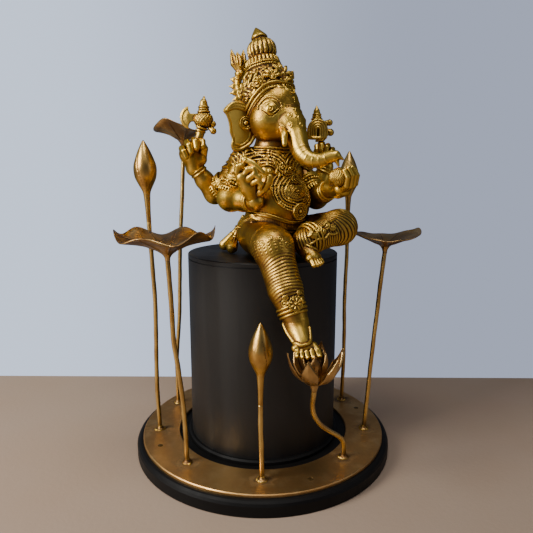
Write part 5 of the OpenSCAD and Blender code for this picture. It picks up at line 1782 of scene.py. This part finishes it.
def axe():
    """The battle axe: a shaft, a hatched bulb, a crescent blade and a pointed tip."""
    clay = Clay((-116, -20, 108), (-50, 12, 208), 0.5)
    clay.wire([(-93, -6, 118), (-88, -8, 138), (-82.5, -6, 156), (-80, -5, 164)], 5.0, 0,
              taper=lambda f: 0.85 + 0.3 * f)
    for z, x, r, w in ((157.5, -83.6, 5.4, 1.4), (161, -81.6, 7.0, 1.6), (164.5, -80, 8.2, 1.4)):
        clay.disc((x, -5, z), (0.3, 0, 1), r, w, w * 0.9)
    c = vec(-77.5, -5, 175)
    clay.ball(c, 12.8, 1.0, (1, 0.9, 0.84))

    def hatch(x, y, z):
        a = np.arctan2(y - c[1], x - c[0])
        h = (z - c[2]) / 3.1
        keep = np.clip((9.5 - np.abs(z - c[2])) / 2, 0, 1) * (np.hypot(x - c[0], y - c[1]) > 5)
        u, v = 8 * a + math.pi * h * 0.62, 8 * a - math.pi * h * 0.62
        return 0.85 * keep * (np.abs(np.cos(u)) ** 0.5 * np.abs(np.cos(v)) ** 0.5 - 0.5)
    clay.relief(hatch, 2.5, (-93, -19, 163), (-62, 9, 187))
    for z, r, w in ((185.2, 8.6, 1.5), (188.3, 7.2, 1.3), (191.2, 7.4, 1.4)):
        clay.disc((-77, -5, z), (0, 0, 1), r, w, w * 0.9)
    clay.bone((-77, -5, 192), (-77, -5, 197), 6.0, 4.8, 0.4)
    clay.bone((-77, -5, 197), (-76, -5, 205), 4.8, 0.8, 0.6)

    # The crescent blade, thin at its edge, with a raised border.
    def blade(x, y, z):
        u = x + 97.0 + 0 * z
        h = z - 178.0 + 0 * x
        outer = np.hypot(u - 3.5, h) - 15.0
        scoop = 9.0 - np.hypot(u - 8.5, np.abs(h) - 12.0)
        moon = np.maximum(np.maximum(outer, scoop), u - 7)
        neck = np.maximum(np.abs(h) - 5.0, np.maximum(-2 - u, u - 14))
        thick = 1.0 + 1.9 * np.clip(-outer / 9.0, 0, 1) + 0.6 * np.exp(-((outer + 2.6) / 0.8) ** 2)
        return np.maximum(np.minimum(moon, neck), np.abs(y + 5) - thick)
    clay.shape((-116, -12, 158), (-80, 4, 200), lambda x, y, z: blade(x, y, z).astype(np.float32), 0.5)
    # Two lobes of the head on the other side, one hanging lower.
    for a, b, r in (((-70, -5, 172), (-64.5, -7, 169.5), 3.8), ((-69, -5, 165), (-64.5, -7, 160.5), 4.1)):
        knob(clay, a, b, r)
    clay.cast("battle_axe_worked", ORNAMENT, "battle_axe")


def noose():
    """The coiled noose on its handle, with a pointed tip like the axe's."""
    clay = Clay((50, -4, 128), (104, 42, 204), 0.5)
    clay.wire([(86, 14, 130), (81, 16, 146), (77, 19, 158)], 3.8, 0)
    for z, x, r, w in ((154, 78.5, 5.2, 1.4), (157.5, 77, 7.0, 1.5)):
        clay.disc((x, 18.5, z), (-0.15, 0, 1), r, w, w * 0.9)
    clay.ball((73, 20, 172.5), 12.5, 1, (1, 0.66, 1.08))
    # The looped rope: strands laid in arches one inside another.
    for face in (-1, 1):
        for i, r in enumerate((12.2, 9.0, 5.9, 2.8)):
            y = 20 + face * (6.6 + 0.6 * i)
            arch = [(73 - 0.9 * r, y, 160.5), (73 - r, y, 170), (73 - 0.74 * r, y, 170 + 0.74 * r + 1),
                    (73, y, 171.5 + r), (73 + 0.74 * r, y, 170 + 0.74 * r + 1), (73 + r, y, 170),
                    (73 + 0.9 * r, y, 160.5)]
            clay.wire(arch, 1.75, 0.3)
    for a, b in (((60, 16, 165), (66, 12, 160)), ((66, 11, 160), (76, 11, 160)),
                 ((76, 12, 160), (86, 15, 165))):
        clay.bone(a, b, 2.3, 2.3, 0.6)
    for z, r, w in ((185.5, 8.0, 1.5), (188.6, 6.6, 1.3), (191.4, 6.4, 1.3)):
        clay.disc((72, 20, z), (0, 0, 1), r, w, w * 0.9)
    clay.bone((72, 20, 192), (71.7, 20, 196), 5.2, 4.2, 0.4)
    clay.bone((71.7, 20, 196), (71.5, 20, 203), 4.2, 0.8, 0.6)
    for a, b, r in (((82, 20, 180), (89.5, 19, 181), 4.2), ((83, 20, 170), (91, 19, 168), 4.8)):
        knob(clay, a, b, r)
    # It stands lower and farther out than it's drawn here, where its hand holds it.
    clay.low = clay.low + vec(1.5, 0, -7)
    clay.cast("noose_rope", ORNAMENT, "noose")


def small_things():
    """The broken tusk, the sweet, the tusks and the earrings."""
    clay = Clay((-24, -112, 98), (10, -88, 130), 0.5)
    clay.wire([(-19, -98.5, 121), (-8, -102, 116), (3, -104, 106)], 3.8, 0, taper=lambda f: 1.15 - 0.5 * f)
    ring(clay, (-16.8, -99, 120), (0.8, -0.25, -0.5), 4.2, 0.8)
    clay.cast("broken_tusk_tip", BRASS, "broken_tusk")

    clay = Clay((76, -108, 88), (104, -82, 115), 0.45)
    c = vec(90, -94, 101)
    clay.ball(c, 10.8, 0)

    def grains(x, y, z):
        a = np.arctan2(y - c[1], x - c[0])
        e = np.arcsin(np.clip((z - c[2]) / 10.0, -1, 1))
        ring_count = np.maximum(np.round(26 * np.cos(e)), 3)
        return 0.5 * np.cos(a * ring_count) * np.cos(e * 24)
    clay.relief(grains, 2.0)
    clay.ball(c + vec(0, 0, 9.4), 2.4, 1.5)
    clay.cast("modak_sweet", ORNAMENT, "modak")

    clay = Clay((16, -88, 128), (72, -48, 170), 0.45)
    for a, b, c in (((25, -60, 160, 5.0), (27, -73, 150, 4.4), (27.5, -78, 139, 3.0)),
                    ((46, -43, 160, 5.0), (52, -53, 151, 4.2), (54, -57, 142, 2.8))):
        path = smooth_path([a, b, c], 1.2)
        clay.limb(path, 0.5)
        ring(clay, path[2, :3], path[3, :3] - path[1, :3], path[2, 3] + 0.4, 0.9)
        ring(clay, path[4, :3], path[5, :3] - path[3, :3], path[4, 3] + 0.3, 0.5)
    clay.cast("tusk_pair", BRASS, "tusks")

    clay = Clay((-34, -60, 152), (58, 22, 180), 0.5)
    for c, heading in (((-20, -47.5, 166.5), 205), ((44, 5, 166.5), 70)):
        t = math.radians(heading)
        out = vec(math.cos(t), math.sin(t), 0)
        n = np.cross(out, (0, 0, 1))
        n = n if n[1] < 0 else -n
        c = vec(*c)
        clay.disc(c - 0.5 * n, n, 8.4, 2.4)
        ring(clay, c + 1.9 * n, n, 7.5, 1.0)
        ring(clay, c + 1.9 * n, n, 4.9, 0.8)
        clay.ball(c + 1.2 * n, 3.0, 0.3)
        beaded_ring(clay, c + 2.0 * n, n, 6.2, 0.5, 20)
    clay.cast("earring_discs", ORNAMENT, "earrings")


def figure():
    torso = torso_clay()
    torso.cast("torso_and_lap", BRASS, "torso", "hips")
    bib(torso)
    collar()
    belt(torso)
    tassels()
    head_clay().cast("elephant_head", BRASS, "head", "trunk")
    crown_clay().cast("crown_worked", ORNAMENT, "crown")
    finial_clay().cast("crown_bulb", ORNAMENT, "crown_finial")
    plume_clay().cast("crown_side_plume", ORNAMENT, "crown_plume")
    ear_clay((-4, -38, 177), 205, (-56, -70, 128), (8, -28, 200)).cast("right_ear_shell", BRASS, "right_ear")
    ear_clay((36, -10, 177), 70, (24, -20, 128), (66, 42, 200)).cast("left_ear_shell", BRASS, "left_ear")
    arms()
    armlets()
    bangles()
    hands()
    axe()
    noose()
    small_things()
    right_leg()
    left_leg()
    feet()
    anklets()


# ---------------------------------------------------------------- room, light and camera


def stage_floor():
    """The table top. It ends a little behind the base, where the backdrop starts."""
    p = Paint("floor")
    # The table top is painted lighter toward the window on the left and darker to the right: a painted pool of
    # light.
    color = p.blend(p.span(p.split(p.place)["X"], -0.45, 0.30), rgb(0.40, 0.285, 0.205),
                    rgb(0.34, 0.24, 0.17))
    tone = p.blend(p.math("MULTIPLY", p.span(p.noise(3.0, 4), 0.3, 0.7), 0.1), color, rgb(0.45, 0.45, 0.45))
    p.bump([(p.noise(160, 4), 0.0003)])
    mesh = bpy.data.meshes.new("floor")
    half, near, far = 2.2, -1.6, 0.225
    mesh.from_pydata([(-half, near, 0), (half, near, 0), (half, far, 0), (-half, far, 0)], [], [(0, 1, 2, 3)])
    mesh.materials.append(p.finish(tone, 0.6, 0.0))
    obj = bpy.data.objects.new("floor", mesh)
    bpy.context.scene.collection.objects.link(obj)


def daylight():
    """Pale blue daylight all round, bright toward the window, dimmer to the right, and weak as a light."""
    world = bpy.data.worlds.new("soft daylight")
    world.use_nodes = True
    sky = Nodes(world.node_tree)
    back = sky.tree.nodes["Background"]
    heading = sky.split(sky.add("ShaderNodeTexCoord").outputs["Generated"])["X"]
    color = sky.blend(sky.span(heading, -0.45, 0.25), rgb(0.84, 0.97, 1.22), rgb(0.41, 0.46, 0.60))
    seen = sky.add("ShaderNodeLightPath").outputs["Is Camera Ray"]
    sky.plug(color, back.inputs["Color"])
    sky.plug(sky.span(seen, 0, 1, 0.18, 1.0), back.inputs["Strength"])
    bpy.context.scene.world = world


def area_light(name, place, target, size, power, color):
    data = bpy.data.lights.new(name, "AREA")
    data.shape = "RECTANGLE"
    data.size, data.size_y = size
    data.energy = power
    data.color = color
    obj = bpy.data.objects.new(name, data)
    obj.location = place
    obj.rotation_euler = (Vector(target) - Vector(place)).to_track_quat("-Z", "Y").to_euler()
    bpy.context.scene.collection.objects.link(obj)


def room():
    """Floor, backdrop, lamps, and the camera at the photographed view."""
    stage_floor()
    daylight()
    area_light("window", (-1.5, -0.9, 1.1), (0, 0, 0.35), (0.7, 1.1), 48, (1.0, 0.97, 0.90))
    area_light("overhead", (0.1, -0.6, 1.9), (0, 0, 0.3), (0.9, 0.6), 13, (1.0, 0.96, 0.90))
    area_light("right_fill", (1.5, -0.7, 0.8), (0, 0, 0.35), (0.4, 1.0), 1.5, (0.95, 0.95, 1.0))
    data = bpy.data.cameras.new("photo_view")
    data.sensor_width, data.lens = 36, 33.55
    cam = bpy.data.objects.new("photo_view", data)
    cam.location = (0.0130, -0.6816, 0.3805)
    tilt, heading = 79.76, 0.65
    cam.rotation_euler = (math.radians(tilt), 0, math.radians(heading))
    bpy.context.scene.collection.objects.link(cam)
    bpy.context.scene.camera = cam


stand()
figure()
patina_and_shade()
room()
